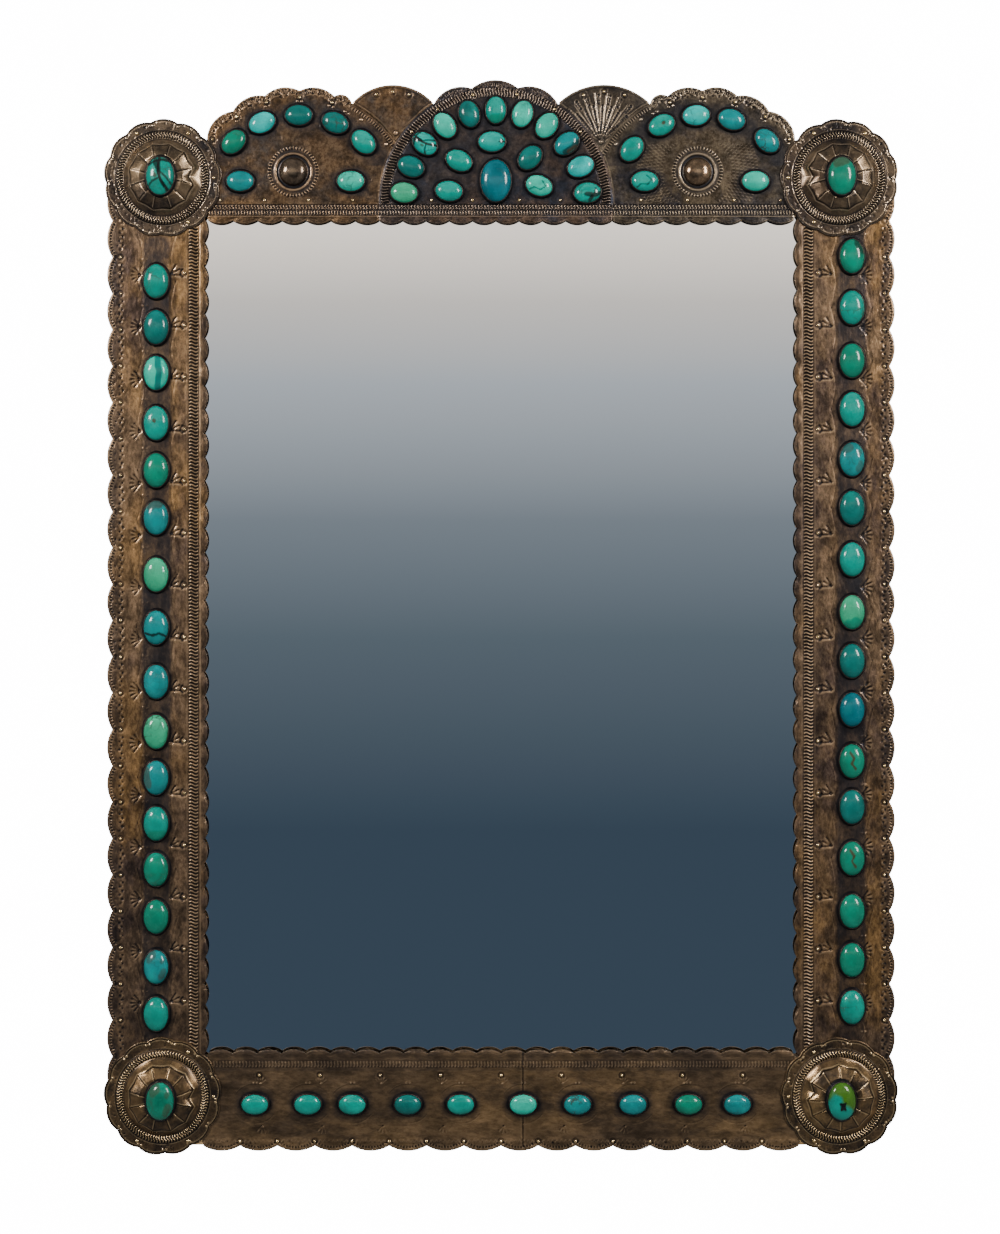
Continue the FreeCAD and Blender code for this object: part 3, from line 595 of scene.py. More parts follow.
    def mesh(self, name, material, replaces):
        """Cuts the grid to the outline and closes it with an edge and a back."""
        self.high -= 0.5 * smooth(EDGE_ROUND, 0, self.edge) ** 2
        keep = self.inside & (self.edge > SNAP)
        cells = keep[:-1, :-1] & keep[1:, :-1] & keep[:-1, 1:] & keep[1:, 1:]
        for _ in range(4):  # no two cells are left that meet at a corner only
            a, b, c, d = cells[:-1, :-1], cells[1:, :-1], cells[:-1, 1:], cells[1:, 1:]
            first, second = a & d & ~b & ~c, b & c & ~a & ~d
            cells[1:, 1:] &= ~first
            cells[:-1, 1:] &= ~second
        index = np.arange(self.X.size).reshape(self.X.shape)
        corners = index[:-1, :-1], index[1:, :-1], index[1:, 1:], index[:-1, 1:]
        used, quads = np.unique(np.stack([corner[cells] for corner in corners], 1), return_inverse=True)
        quads = quads.reshape(-1, 4)
        # the rim is the edges that one cell alone has, and it is drawn out to the outline
        starts, ends = quads.ravel(), np.roll(quads, -1, axis=1).ravel()
        total = len(used)
        lone = ~np.isin(starts * total + ends, ends * total + starts)
        after = dict(zip(starts[lone].tolist(), ends[lone].tolist()))
        rim = np.array(sorted(after))
        x, z = self.X.ravel()[used], self.Z.ravel()[used]
        x[rim], z[rim] = self.near_x.ravel()[used][rim], self.near_z.ravel()[used][rim]
        y = FRONT_Y - (self.high + self.slow).ravel()[used]
        y[rim] = FRONT_Y + 0.35
        points = np.stack([x, y, z], 1)
        behind = points[rim].copy()
        behind[:, 1] = BACK_Y
        spot = {v: total + i for i, v in enumerate(rim.tolist())}
        skirt = np.array([(b, a, spot[a], spot[b]) for a, b in after.items()])
        loop, here = [], rim[0].item()
        while not loop or here != rim[0]:
            loop.append(spot[here])
            here = after[here]
        marks = {"worn": worn_of(self.high), "dark": self.dark, "bars": self.bars}
        for mark, values in marks.items():
            values = values.reshape(self.X.size, -1)[used]
            rims = np.full((len(rim), values.shape[1]), MARKS_RIM[mark])
            marks[mark] = np.concatenate([values, rims]).squeeze()
        make_piece(name, np.concatenate([points, behind]), [quads, skirt, np.array([loop[::-1]])],
                   material, "silver_sheet", replaces, angle=65.0, marks=marks)


make_camera()
make_sweep()
make_card()
make_world()
make_lights()


# Materials

PIT = (0.010, 0.008, 0.007)
# near-black for dirt and painted shade on the silver
DIRT_AND_SHADE = (0.014, 0.015, 0.020)


def silver(name, mid, warm, cool, rubbed, rough=0.42, contrast=1.4, bump=0.45,
           engraved=False, grain=(1, 1, 1)):
    """Tarnished silver: patches of tone, black in the pits and gaps, paler where it is rubbed."""
    m = Material(name)
    place = m.scaled(m.place(), grain)
    low, high = 1 - 0.32 * contrast, 1 + 0.24 * contrast
    tone = m.mix(m.cloud((11.0, 4.0, 0.6, place), (0.42, 0.0), (0.60, 1.0)), mid, warm)
    tone = m.mix(m.cloud((34.0, 5.0, 0.7, place), (0.47, 0.0), (0.64, 1.0)), tone, cool)
    tone = m.shaded(tone, m.cloud((120.0, 4.0, 0.7, place), (0.38, low), (0.62, high)))
    tone = m.shaded(tone, m.cloud((420.0, 3.0, 0.75, place), (0.36, low), (0.64, high)))
    worn = m.attribute("worn")["Fac"]
    tops = m.ramp(worn, (0.58, 0.0), (0.92, 1.0))
    tone = m.mix(tops, tone, rubbed)
    tone = m.mix(m.ramp(worn, (0.10, 1.0), (0.44, 0.0)), tone, PIT)
    # the dark mark is dirt and painted shade, broken up by noise
    ragged = m.cloud((85.0, 4.0, 0.7, place), (0.3, 0.6), (0.6, 1.0))
    tone = m.mix(m.times(m.attribute("dark")["Fac"], ragged, clamp=True), tone, DIRT_AND_SHADE)
    # rows of bars: black gaps and rubbed crests
    bars = m.parts(m.attribute("bars")["Vector"])
    wave = m.maths("COSINE", m.times(bars["Y"], 2 * math.pi))
    inside = m.times(m.fade(bars["X"], 1.05, 0.9), bars["Z"], clamp=True)
    tone = m.mix(m.times(m.fade(wave, 0.35, -0.2), inside, clamp=True), tone, PIT)
    crests = m.times(m.times(m.fade(wave, 0.4, 0.95), inside), 0.55, clamp=True)
    tone = m.mix(crests, tone, rubbed)
    if engraved:
        cuts = m.parts(m.attribute("cuts")["Vector"])
        for cut, half in (("X", 0.42), ("Y", 0.5), ("Z", 0.4)):
            gap = m.maths("ABSOLUTE", cuts[cut])
            lip = m.maths("ABSOLUTE", m.maths("SUBTRACT", cuts[cut], 2.1 * half))
            tone = m.mix(m.times(m.fade(lip, half, 0.3 * half), 0.42), tone, rubbed)
            tone = m.mix(m.times(m.fade(gap, 1.1 * half, 0.5 * half), 0.85), tone, PIT)
    smudge = m.cloud((60.0, 4.0, 0.6, place), (0.3, rough - 0.10), (0.7, rough + 0.10))
    roughness = m.maths("SUBTRACT", smudge, m.times(tops, 0.16))
    strokes = m.noise(1.0, 2.0, 0.5, m.scaled(place, (900.0, 900.0, 60.0), (0.0, 0.7, 0.0)))
    dents = m.noise(110.0, 3.0, 0.6, place)
    lift = m.mix(0.5, m.mix(0.35, dents, strokes), m.noise(600.0, 2.0, 0.5, place))
    lift = m.maths("ADD", lift, m.times(m.times(wave, inside), 0.5))
    return m.shade("BsdfPrincipled", Base_Color=tone, Metallic=0.85, Roughness=roughness,
                   Normal=m.bump(lift, bump, 0.0009))


def turquoise():
    """Polished stone: the colour, darkened at each stone's rim as painted shade, is painted on the mesh;
    clouds and matrix come from here.
    """
    m = Material("turquoise")
    place = m.place()
    tone = m.shaded(m.attribute("tint")["Color"], m.cloud((130.0, 4.0, 0.6, place), (0.3, 0.78), (0.7, 1.14)))
    wander = m.node("TexNoise", Vector=place, Scale=150.0, Detail=3.0).outputs["Color"]
    bent = m.node("VectorMath", {"operation": "MULTIPLY_ADD"}, **{"0": wander, "1": (0.009,) * 3, "2": place})
    cells = m.node("TexVoronoi", {"feature": "DISTANCE_TO_EDGE"}, Vector=bent.outputs[0], Scale=120.0)
    lines = m.ramp(cells.outputs["Distance"], (0.0, 1.0), (0.07, 0.0))
    broken = m.cloud((90.0, 2.0, 0.5, place), (0.42, 0.0), (0.6, 1.0))
    web = m.times(m.times(lines, broken), m.attribute("vein")["Fac"], clamp=True)
    return m.shade(
        "BsdfPrincipled",
        Base_Color=m.mix(web, tone, (0.022, 0.020, 0.014)),
        Roughness=m.cloud((240.0, 3.0, 0.6, place), (0.3, 0.18), (0.7, 0.32)),
        Specular_IOR_Level=0.1,
        Coat_Weight=0.42,
        Coat_Roughness=0.05,
        Normal=m.bump(m.mix(0.5, m.noise(60.0, 1.0, 0.5, place), lines), 0.06, 0.0006),
    )


def wood(name, stretch):
    """Pale planed wood, with its grain along the side that is stretched least."""
    m = Material(name)
    place = m.place()
    figure = m.noise(1.0, 5.0, 0.65, m.scaled(place, stretch))
    tone = m.ramp(figure, (0.28, srgb(150, 112, 68)), (0.5, srgb(193, 158, 108)), (0.75, srgb(214, 184, 136)))
    tone = m.shaded(tone, m.cloud((9.0, 4.0, 0.6, place), (0.35, 0.72), (0.65, 1.0)))
    # the front edge round the glass is made as dark as the silver over it, partly a stain and partly painted
    # shadow under the silver
    spot = m.parts(place)
    away_x = m.maths("ABSOLUTE", spot["X"])
    away_z = m.maths("ABSOLUTE", m.maths("SUBTRACT", spot["Z"], GLASS_Z * MM))
    stain_and_shadow = 0.85
    for away, edge in ((away_x, 216.0), (away_z, 306.0), (spot["Y"], -11.0)):
        stain_and_shadow = m.times(m.fade(away, (edge + 0.5) * MM, (edge - 0.5) * MM), stain_and_shadow)
    return m.shade("BsdfPrincipled", Base_Color=m.mix(stain_and_shadow, tone, srgb(46, 34, 24)),
                   Roughness=m.ramp(figure, (0.3, 0.62), (0.7, 0.78)), Normal=m.bump(figure, 0.3, 0.0006))


def mirror_glass():
    m = Material("mirror_silvering")
    haze = m.cloud((5.0, 4.0, 0.6), (0.35, 0.0), (0.75, 0.035))
    return m.shade("BsdfPrincipled", Base_Color=(0.88, 0.90, 0.90), Metallic=1.0, Roughness=haze)


def fibre(name, light, dark, scale, rough=0.85):
    """Card and board: fibres and flecks."""
    m = Material(name)
    place = m.place()
    flecks = m.noise(scale, 5.0, 0.75, place)
    tone = m.shaded(m.ramp(flecks, (0.35, dark), (0.62, light)),
                    m.cloud((6.0, 4.0, 0.6, place), (0.35, 0.8), (0.6, 1.0)))
    return m.shade("BsdfPrincipled", Base_Color=tone, Roughness=rough, Normal=m.bump(flecks, 0.25, 0.0004))


def plated(name, tone, dull, rough):
    """Hardware metal with rubbed and dull places."""
    m = Material(name)
    place = m.place()
    wear = m.noise(150.0, 4.0, 0.65, place)
    scratches = m.noise(1.0, 2.0, 0.5, m.scaled(place, (1500.0, 300.0, 200.0)))
    return m.shade("BsdfPrincipled", Base_Color=m.ramp(wear, (0.32, dull), (0.6, tone)), Metallic=1.0,
                   Roughness=m.ramp(wear, (0.3, rough + 0.15), (0.7, rough)),
                   Normal=m.bump(scratches, 0.12, 0.0003))


def rubber():
    m = Material("bumper_rubber")
    dust = m.noise(400.0, 3.0, 0.6)
    tone = m.ramp(dust, (0.35, (0.018, 0.018, 0.019)), (0.7, (0.05, 0.049, 0.047)))
    return m.shade("BsdfPrincipled", Base_Color=tone, Roughness=0.7, Normal=m.bump(dust, 0.2, 0.0003))


# the silvers' middle, warm, cool and rubbed tones, and what else sets each apart
SILVERS = {
    "sides": ((104, 84, 64), (120, 92, 58), (72, 58, 50), (168, 140, 108), {"grain": (1, 1, 0.6)}),
    "bottom": ((102, 83, 62), (118, 95, 67), (78, 64, 50), (160, 134, 104),
               {"contrast": 0.8, "grain": (0.45, 1, 1)}),
    "crest_left": ((78, 62, 46), (96, 72, 46), (56, 50, 46), (160, 132, 104), {}),
    "crest_middle": ((62, 54, 50), (78, 62, 50), (38, 42, 52), (146, 126, 108), {}),
    "crest_right": ((62, 56, 48), (74, 64, 51), (44, 42, 45), (156, 138, 116), {}),
    "top_conchos": ((85, 70, 56), (116, 98, 76), (48, 43, 40), (194, 170, 140),
                    {"rough": 0.28, "contrast": 0.7, "bump": 0.12, "engraved": True}),
    "bottom_conchos": ((108, 86, 60), (136, 110, 74), (62, 52, 42), (204, 176, 132),
                       {"rough": 0.30, "contrast": 0.7, "bump": 0.12, "engraved": True}),
    "bosses": ((106, 90, 74), (122, 100, 78), (56, 48, 42), (200, 176, 146),
               {"rough": 0.18, "contrast": 1.2, "bump": 0.2}),
    "pins": ((196, 168, 118), (206, 172, 112), (160, 138, 104), (236, 206, 150),
             {"rough": 0.24, "contrast": 0.3, "bump": 0.1}),
    "bezels": ((34, 29, 28), (42, 35, 31), (24, 24, 30), (84, 74, 66), {"rough": 0.5}),
}
SILVER = {
    name: silver("silver_" + name, *(srgb(*tone) for tone in tones), **changes)
    for name, (*tones, changes) in SILVERS.items()
}
TURQUOISE = turquoise()
HARDWARE_STEEL = plated("hardware_steel", (0.62, 0.62, 0.62), (0.36, 0.36, 0.37), 0.3)
BUTTON_BRASS = plated("button_brass", (0.74, 0.50, 0.20), (0.42, 0.28, 0.12), 0.28)
RUBBER = rubber()


# Pins, stones and bosses, which the sheets have marks round

SIDE_BEAD_X, SIDE_PIN_X = {-1: 273.9, 1: 276.0}, 228.0
SIDE_PINS_Z = [262.0 - i * 524.0 / 14 for i in range(15)]
BOTTOM_BEAD_Z, BOTTOM_PIN_Z = -363.0, -315.5
BOTTOM_PINS_X = [-174.0 + i * 43.5 for i in range(9)]
ARCH_PIN_INSET, CREST_PIN_Z = 5.0, 314.5
ARCH_PIN_SHARES, MIDDLE_PIN_SHARES = (0.15, 0.4, 0.65, 0.9), (-0.55, -0.2, 0.2, 0.55)
MIDDLE_PIN_TURNS, FAN_PIN_TURNS = (-50, -32, -12, 11, 32, 50), (-20, 0, 20)
CONCHO_PIN_R, CONCHO_PIN_TURNS = 36.8, (30, 90, 150, 210)

SIDE_STONE = (9.3, 12.8)
BOTTOM_STONE = (10.3, 7.7)
CREST_STONE = (7.7, 10.3)
MIDDLE_STONE = (11.4, 15.9)
CONCHO_STONE = (10.4, 14.2)
STONE_HIGH, SMALL_STONE_HIGH = 6.8, 5.8
SIDE_STONES_X = {-1: -248.0, 1: 252.5}
SIDE_STONES_Z = {
    -1: (256, 223, 190, 154, 120, 86, 45, 7, -32, -68, -101, -134, -167, -201, -237, -271),
    1: (274, 237, 199, 164, 128, 93, 56, 18, -17, -52, -89, -122, -159, -197, -232, -266),
}
BOTTOM_STONES_X, BOTTOM_STONE_Z = (-177, -139, -107, -67, -29, 16, 55, 95, 135, 170), -336.0
ARCH_ROW_R, ARCH_ROWS = 66.0, {-1: (-45, -23.5, 0, 23.5, 45), 1: (-51, -27, -4.5, 18, 44)}
ARCH_FOOT_DX, ARCH_FOOT_DZ = (-42.0, 37.5), 18.5
MIDDLE_ROW_R, MIDDLE_ROW_STEP, MIDDLE_ROW_COUNT = 66.3, 16.8, 11
MIDDLE_STONE_DZ = 15.5
INNER_ROW = ((-76.5, 34.7, 97), (-41.5, 40.0, 117), (-3.7, 43.7, 90), (37.5, 40.4, 42), (69, 33.3, 108))
BOSS_DX, BOSS_DZ, BOSS_R, BOSS_HIGH = -4.0, 25.5, 10.2, 6.0


def side_settings(side):
    return [(SIDE_STONES_X[side], z, SIDE_STONE, 0) for z in SIDE_STONES_Z[side]]


def arch_settings(side):
    """(x, z, size, lean) of a side arch's stones."""
    cx = side * ARCH_X
    made = [(*polar(cx, ARCH_Z, ARCH_ROW_R, turn), CREST_STONE, 90 + turn) for turn in ARCH_ROWS[side]]
    return made + [(cx + dx, ARCH_Z + ARCH_FOOT_DZ, CREST_STONE, 90) for dx in ARCH_FOOT_DX]


def middle_settings():
    turns = [MIDDLE_ROW_STEP * (i - (MIDDLE_ROW_COUNT - 1) / 2) for i in range(MIDDLE_ROW_COUNT)]
    spots = [(turn, MIDDLE_ROW_R, turn) for turn in turns] + list(INNER_ROW)
    return [(*polar(MIDDLE_X, MIDDLE_Z, radius, turn), CREST_STONE, lean) for turn, radius, lean in spots]


SETTINGS = {
    "left_side": side_settings(-1),
    "right_side": side_settings(1),
    "bottom": [(x, BOTTOM_STONE_Z, BOTTOM_STONE, 0) for x in BOTTOM_STONES_X],
    "crest_left": arch_settings(-1),
    "crest_right": arch_settings(1),
    "crest_middle": middle_settings(),
    "crest_centre": [(MIDDLE_X, MIDDLE_Z + MIDDLE_STONE_DZ, MIDDLE_STONE, 0)],
    "concho": [(x, z, CONCHO_STONE, 0) for x in (-CORNER_X, CORNER_X) for z in (CORNER_Z, -CORNER_Z)],
}


# Marks on the silver sheets, in millimetres

SIDE_STEP, BOTTOM_STEP, CREST_STEP, FAN_STEP = 0.68, 0.6, 0.45, 0.4    # spacing of the grids
ROPE_X, ROPE_HALF, ROPE_PITCH = 221.4, 3.3, 2.48
ROPE_LINE_IN_X, ROPE_LINE_OUT_X = 216.4, 225.9
SIDE_BULGE_OUT_X, SIDE_BULGE_IN_X, SIDE_HAMMERED_X = 278.5, 212.5, 279.3
PETALS_OUT_X, PETALS_IN_X = 259.5, 238.5
SIDE_COLUMNS = (          # spacing of the grid: close on the rope and the rims, wide under the stones
    (209.0, 217.0, 0.85), (217.0, 226.6, 0.6), (226.6, 243.0, 0.8),
    (243.0, 257.0, 1.3), (257.0, 270.0, 0.8), (270.0, 285.6, 0.7),
)
BOTTOM_BULGE_OUT_Z, BOTTOM_BULGE_IN_Z, BOTTOM_HAMMERED_Z = -365.5, -298.7, -366.0
COMB_TIP_Z, COMB_FOOT_Z, COMB_PITCH = -361.8, -363.4, 3.1
PETALS_UP_Z, PETALS_DOWN_Z = -321.5, -351.5
TICKS_Z, TICKS_HALF, TICKS_PITCH, TICK_DOTS_Z = -307.4, 2.0, 2.35, -309.3
TICKS_LINE_IN_Z, TICKS_LINE_OUT_Z = -303.9, -312.2
SEAM_X = 15.8
CREST_TICKS_HIGH_Z, CREST_TICKS_LOW_Z, CREST_TICKS_HALF = 309.5, 305.5, 1.6
CREST_RIB_Z, CREST_BULGE_Z = 302.9, 298.8
MIDDLE_ROPE_R, MIDDLE_ROPE_HALF = 79.6, 3.2
FAN_BEAD_RISE = 6.5       # of the bead that a fan's rays start from, over where the arches cross


def palmette(sheet, x, z, heading, far, spread, count, deep, lift=0.05):
    """A fan of punched strokes, dark with a lighter lip."""
    far *= rng.uniform(0.85, 1.05)
    for turn in heading + np.linspace(-spread, spread, count):
        stroke = np.array([polar(x, z, 0.6, turn), polar(x, z, far, turn)])
        sheet.stroke(stroke, 0.9, -deep)
        sheet.stroke(stroke + (0.7, -0.5), 0.7, lift)


def bead_seat(sheet, x, z, side=0):
    """The dark dent round a pin's head, deeper on the side that faces the stones."""
    sheet.ring(x, z, 1.9, 0.9, -0.3)
    if side:
        sheet.stroke(polar(x, z, 3.0, np.linspace(25, 155, 7) * -side), 0.9, -0.45)


def chain(sheet, x, high, low):
    """A crooked row of small punches down the sheet."""
    for i, z in enumerate(np.linspace(high, low, int((high - low) / 2.9) + 1)[1:-1], 1):
        hand = (-1) ** i
        spot = x - 0.8 * (hand + rng.uniform(-0.7, 0.7))
        sheet.dent(spot, z, rng.uniform(1.0, 1.4), 0.5 * rng.uniform(0.5, 1.4))
        sheet.dome(spot + 1.5 * hand, z, 0.85, 0.4 * rng.uniform(0, 1))


def pepper(sheet, x, z, across, up, count, deep=0.25):
    """Scattered dents from hammering."""
    for _ in range(count):
        dx, dz = rng.uniform(-across, across), rng.uniform(-up, up)
        sheet.dent(x + dx, z + dz, rng.uniform(0.7, 1.5), deep * rng.uniform(0.3, 1.2))


def side_sheet(side):
    """A side strip: scallops, bead and petal rows, faint ogee lines and a roped line."""
    out_foot, out_head = SIDE_OUTER_ROW
    in_foot, in_head = SIDE_INNER_ROW
    outline = outline_of(
        [(-CUSP_OUT_X, -CORNER_Z)],
        row_of_bows((-CUSP_OUT_X, out_foot), (-CUSP_OUT_X, out_head), SIDE_OUTER, OUTER_BULGE),
        [(-CUSP_OUT_X, out_head), (-CUSP_OUT_X, CORNER_Z), (-CUSP_IN_X, CORNER_Z)],
        row_of_bows((-CUSP_IN_X, in_head), (-CUSP_IN_X, in_foot), SIDE_INNER, INNER_BULGE),
        [(-CUSP_IN_X, in_foot), (-CUSP_IN_X, -CORNER_Z)],
    )
    columns = np.concatenate([np.arange(*span) for span in SIDE_COLUMNS])
    sheet = Sheet(outline * (-side, 1), SIDE_STEP, columns if side > 0 else -columns[::-1])
    away = np.abs(sheet.X)
    sheet.waves((95, 41, 18), 0.2)
    step_out, step_in = (out_head - out_foot) / SIDE_OUTER, (in_head - in_foot) / SIDE_INNER
    for i in range(SIDE_OUTER):
        z = out_foot + (i + 0.5) * step_out
        sheet.bulge(side * SIDE_BULGE_OUT_X, z, 6.0, step_out / 2, 0.35)
        pepper(sheet, side * SIDE_HAMMERED_X, z, 3.2, step_out * 0.42, 9)
    for i in range(SIDE_INNER):
        sheet.bulge(side * SIDE_BULGE_IN_X, in_foot + (i + 0.5) * step_in, 4.2, step_in / 2, 0.5)
    outer_edge = np.abs(sheet.near_x) > CUSP_OUT_X - 1
    sheet.edge_line(outer_edge, 0.8, 0.5, 0.12)
    sheet.edge_line(np.abs(sheet.near_x) < CUSP_IN_X + 0.5, 1.6, 0.6, -0.16)
    sheet.edge_ticks(outer_edge, 2.7, 0.9, 2.4, 0.75)
    sheet.soil_and_shade(smooth(272, 277, away), 0.55)
    # painted shade: the strip darkens towards the bottom, the left one more
    sheet.soil_and_shade(smooth(-40, -290, sheet.Z), 0.34 if side < 0 else 0.15)
    bead_x = SIDE_BEAD_X[side]
    for i in range(2, SIDE_OUTER):
        z = out_foot + i * step_out
        bead_seat(sheet, side * bead_x, z)
        chain(sheet, side * (bead_x - 0.4), z - 2.6, z - step_out + 2.6)
    for z in SIDE_PINS_Z:
        bead_seat(sheet, side * SIDE_PIN_X, z, -side)
        palmette(sheet, side * PETALS_OUT_X, z - 1.5, 90 * side, 7.5, 52.0, 5, 0.45)
        palmette(sheet, side * PETALS_IN_X, z - 1.0, -62 * side, 8.0, 30.0, 3, 0.45)
    ogees(sheet, side)
    # painted shade round each stone
    for stone in side_settings(side):
        sheet.shade_round_setting(*stone, reach=2.6)
    sheet.band((away - ROPE_X) / ROPE_HALF, side * sheet.Z, ROPE_PITCH)
    # painted shade on the inner scallops by the glass
    sheet.soil_and_shade(smooth(217, 213, away), 0.4)
    if side > 0:
        sheet.soil_and_shade(np.exp(-(((away - ROPE_X) / ROPE_HALF) ** 4)), 0.35)
        sheet.soil_and_shade(smooth(238, 228, away), 0.24)
    sheet.line_x(side * ROPE_LINE_IN_X, 0.7, 0.16 if side < 0 else 0.06)
    sheet.line_x(side * ROPE_LINE_OUT_X, 0.6, 0.1)
    word = SIDES[side]
    sheet.mesh(word + "_side_silver", SILVER["sides"], [word + "_side_sheet"])


def ogees(sheet, side):
    """Engraved lines that wave in and out past the stones, with a dark field between two stones."""
    x, levels = SIDE_STONES_X[side], SIDE_STONES_Z[side]
    ends = [levels[0] + 34, *levels, levels[-1] - 34]
    for high, low in zip(ends, ends[1:]):
        middle, half = (high + low) / 2, (high - low) / 2
        waist = 11.0 if half > 17 else 10.0
        turns = np.linspace(-1, 1, 15)
        for hand in (-1, 1):
            path = np.stack([x + hand * (waist + 3.8 * np.abs(turns) ** 1.5), middle + turns * half], 1)
            sheet.stroke(path, 0.8, -0.16)
            sheet.stroke(path[8:] + (hand * 1.0, 0), 0.8, 0.07)
        sheet.patch(x, middle, waist - 0.5, half - 2.0, rng.uniform(0.7, 0.95))
        for dx in (-1.3, 1.3):
            sheet.dome(x + side * 8.5 + dx, middle - 1.0, 0.8, 0.45)
        sheet.stroke(polar(x, middle, 9.5, np.linspace(-50, -130, 7) * -side), 0.6, 0.14)


def bottom_sheet():
    """The bottom strip: scallops, combs, palmettes, a row of ticks and a seam at the middle."""
    outline = outline_of(
        row_of_bows((END_X, -CUSP_OUT_Z), (-END_X, -CUSP_OUT_Z), BOTTOM_OUTER, OUTER_BULGE),
        [(-END_X, -CUSP_OUT_Z), (-END_X, -CORNER_Z - BUTT_GAP), (-STEP_X, -CORNER_Z - BUTT_GAP)],
        row_of_bows((-STEP_X, -CUSP_IN_Z), (STEP_X, -CUSP_IN_Z), BOTTOM_INNER, INNER_BULGE),
        [(STEP_X, -CUSP_IN_Z), (STEP_X, -CORNER_Z - BUTT_GAP), (END_X, -CORNER_Z - BUTT_GAP)],
    )
    sheet = Sheet(outline, BOTTOM_STEP)
    sheet.waves((95, 41, 18), 0.2)
    step_out, step_in = 2 * END_X / BOTTOM_OUTER, 2 * STEP_X / BOTTOM_INNER
    for i in range(BOTTOM_OUTER):
        x = -END_X + (i + 0.5) * step_out
        sheet.bulge(x, BOTTOM_BULGE_OUT_Z, step_out / 2, 6.0, 0.35)
        pepper(sheet, x, BOTTOM_HAMMERED_Z, step_out * 0.42, 3.0, 9)
        for spot in x + np.arange(-3, 4) * COMB_PITCH:
            tooth = (spot - 1.1, COMB_FOOT_Z), (spot, COMB_TIP_Z), (spot + 1.1, COMB_FOOT_Z)
            sheet.stroke(tooth, 0.6, 0.14)
    for i in range(BOTTOM_INNER):
        x = -STEP_X + (i + 0.5) * step_in
        sheet.bulge(x, BOTTOM_BULGE_IN_Z, step_in / 2, 4.2, 0.3)
        sheet.stroke([(x - step_in * 0.48, -299.6), (x - step_in * 0.25, -298.2)], 0.6, 0.3)
    outer_edge = (sheet.near_z < -CUSP_OUT_Z + 1) & (np.abs(sheet.near_x) < END_X - 0.5)
    sheet.edge_line(outer_edge, 0.8, 0.5, 0.12)
    sheet.edge_ticks(outer_edge, 2.9, 0.9, 2.4, 0.6)
    sheet.edge_line(sheet.near_z > -CUSP_IN_Z - 0.2, 1.5, 0.7, -0.2)
    # painted shade on the inner scallops by the glass
    sheet.soil_and_shade(smooth(-301, -299, sheet.Z), 0.45)
    for i in range(1, BOTTOM_OUTER):
        bead_seat(sheet, -END_X + i * step_out, BOTTOM_BEAD_Z)
    for x in BOTTOM_PINS_X:
        bead_seat(sheet, x, BOTTOM_PIN_Z)
        palmette(sheet, x, PETALS_UP_Z, 0, 5.0, 50.0, 5, 0.1, 0.2)
        palmette(sheet, x + 2.0, PETALS_DOWN_Z, 180, 5.5, 45.0, 4, 0.15, 0.15)
    sheet.band((sheet.Z - TICKS_Z) / TICKS_HALF, sheet.X, TICKS_PITCH, crown=0.1, bend=0.15, strength=0.34)
    for x in np.arange(4 - STEP_X, STEP_X - 4, TICKS_PITCH):
        sheet.dome(x, TICK_DOTS_Z, 0.8, 0.5)
    sheet.soil_and_shade((sheet.Z > -312) * 1.0, 0.3)
    sheet.line_z(TICKS_LINE_IN_Z, 0.7, 0.08)
    sheet.line_z(TICKS_LINE_OUT_Z, 0.6, 0.08)
    for x in BOTTOM_STONES_X:
        for sign, foot in ((1, 0), (-1, 180)):
            path = polar(0, 0, 1, foot + np.linspace(-58, 58, 13)) * (16.0, 14.0) + (x, BOTTOM_STONE_Z)
            sheet.stroke(path, 0.6, -0.13)
            sheet.stroke(path[:7] + (0, sign * 0.9), 0.6, 0.08)
        for dx in (-1.2, 1.2):
            sheet.dome(x + dx, -321.0, 0.75, 0.35)
        sheet.patch(x, BOTTOM_STONE_Z, 14.0, 11.0, 0.45)
    # painted shade round each stone
    for stone in SETTINGS["bottom"]:
        sheet.shade_round_setting(*stone, reach=2.6)
    sheet.stroke([(SEAM_X, -CUSP_OUT_Z + 0.5), (SEAM_X, -CUSP_IN_Z)], 0.8, -0.4)
    sheet.mesh("bottom_silver", SILVER["bottom"], ["bottom_sheet"])


def crest_foot(sheet, first, last, count):
    """The rows along the crest's lower edge: two rows of ticks, a rib and domed scallops."""
    high, low = ((sheet.Z - z) / CREST_TICKS_HALF for z in (CREST_TICKS_HIGH_Z, CREST_TICKS_LOW_Z))
    sheet.band(high, sheet.X, 2.3, crown=0.1, bend=0.4, strength=0.9)
    sheet.band(low, sheet.X, 2.1, crown=0.15, bend=0.1)
    sheet.soil_and_shade(smooth(303.5, 304.3, sheet.Z) * smooth(311.8, 311.0, sheet.Z), 0.5)
    sheet.line_z(CREST_RIB_Z, 0.7, 0.2)
    step = (last - first) / count
    for i in range(count):
        sheet.bulge(first + (i + 0.5) * step, CREST_BULGE_Z, abs(step) / 2, 4.0, 0.5)
    sheet.edge_line(sheet.near_z < CUSP_IN_Z + 0.2, 1.6, 0.6, -0.18)


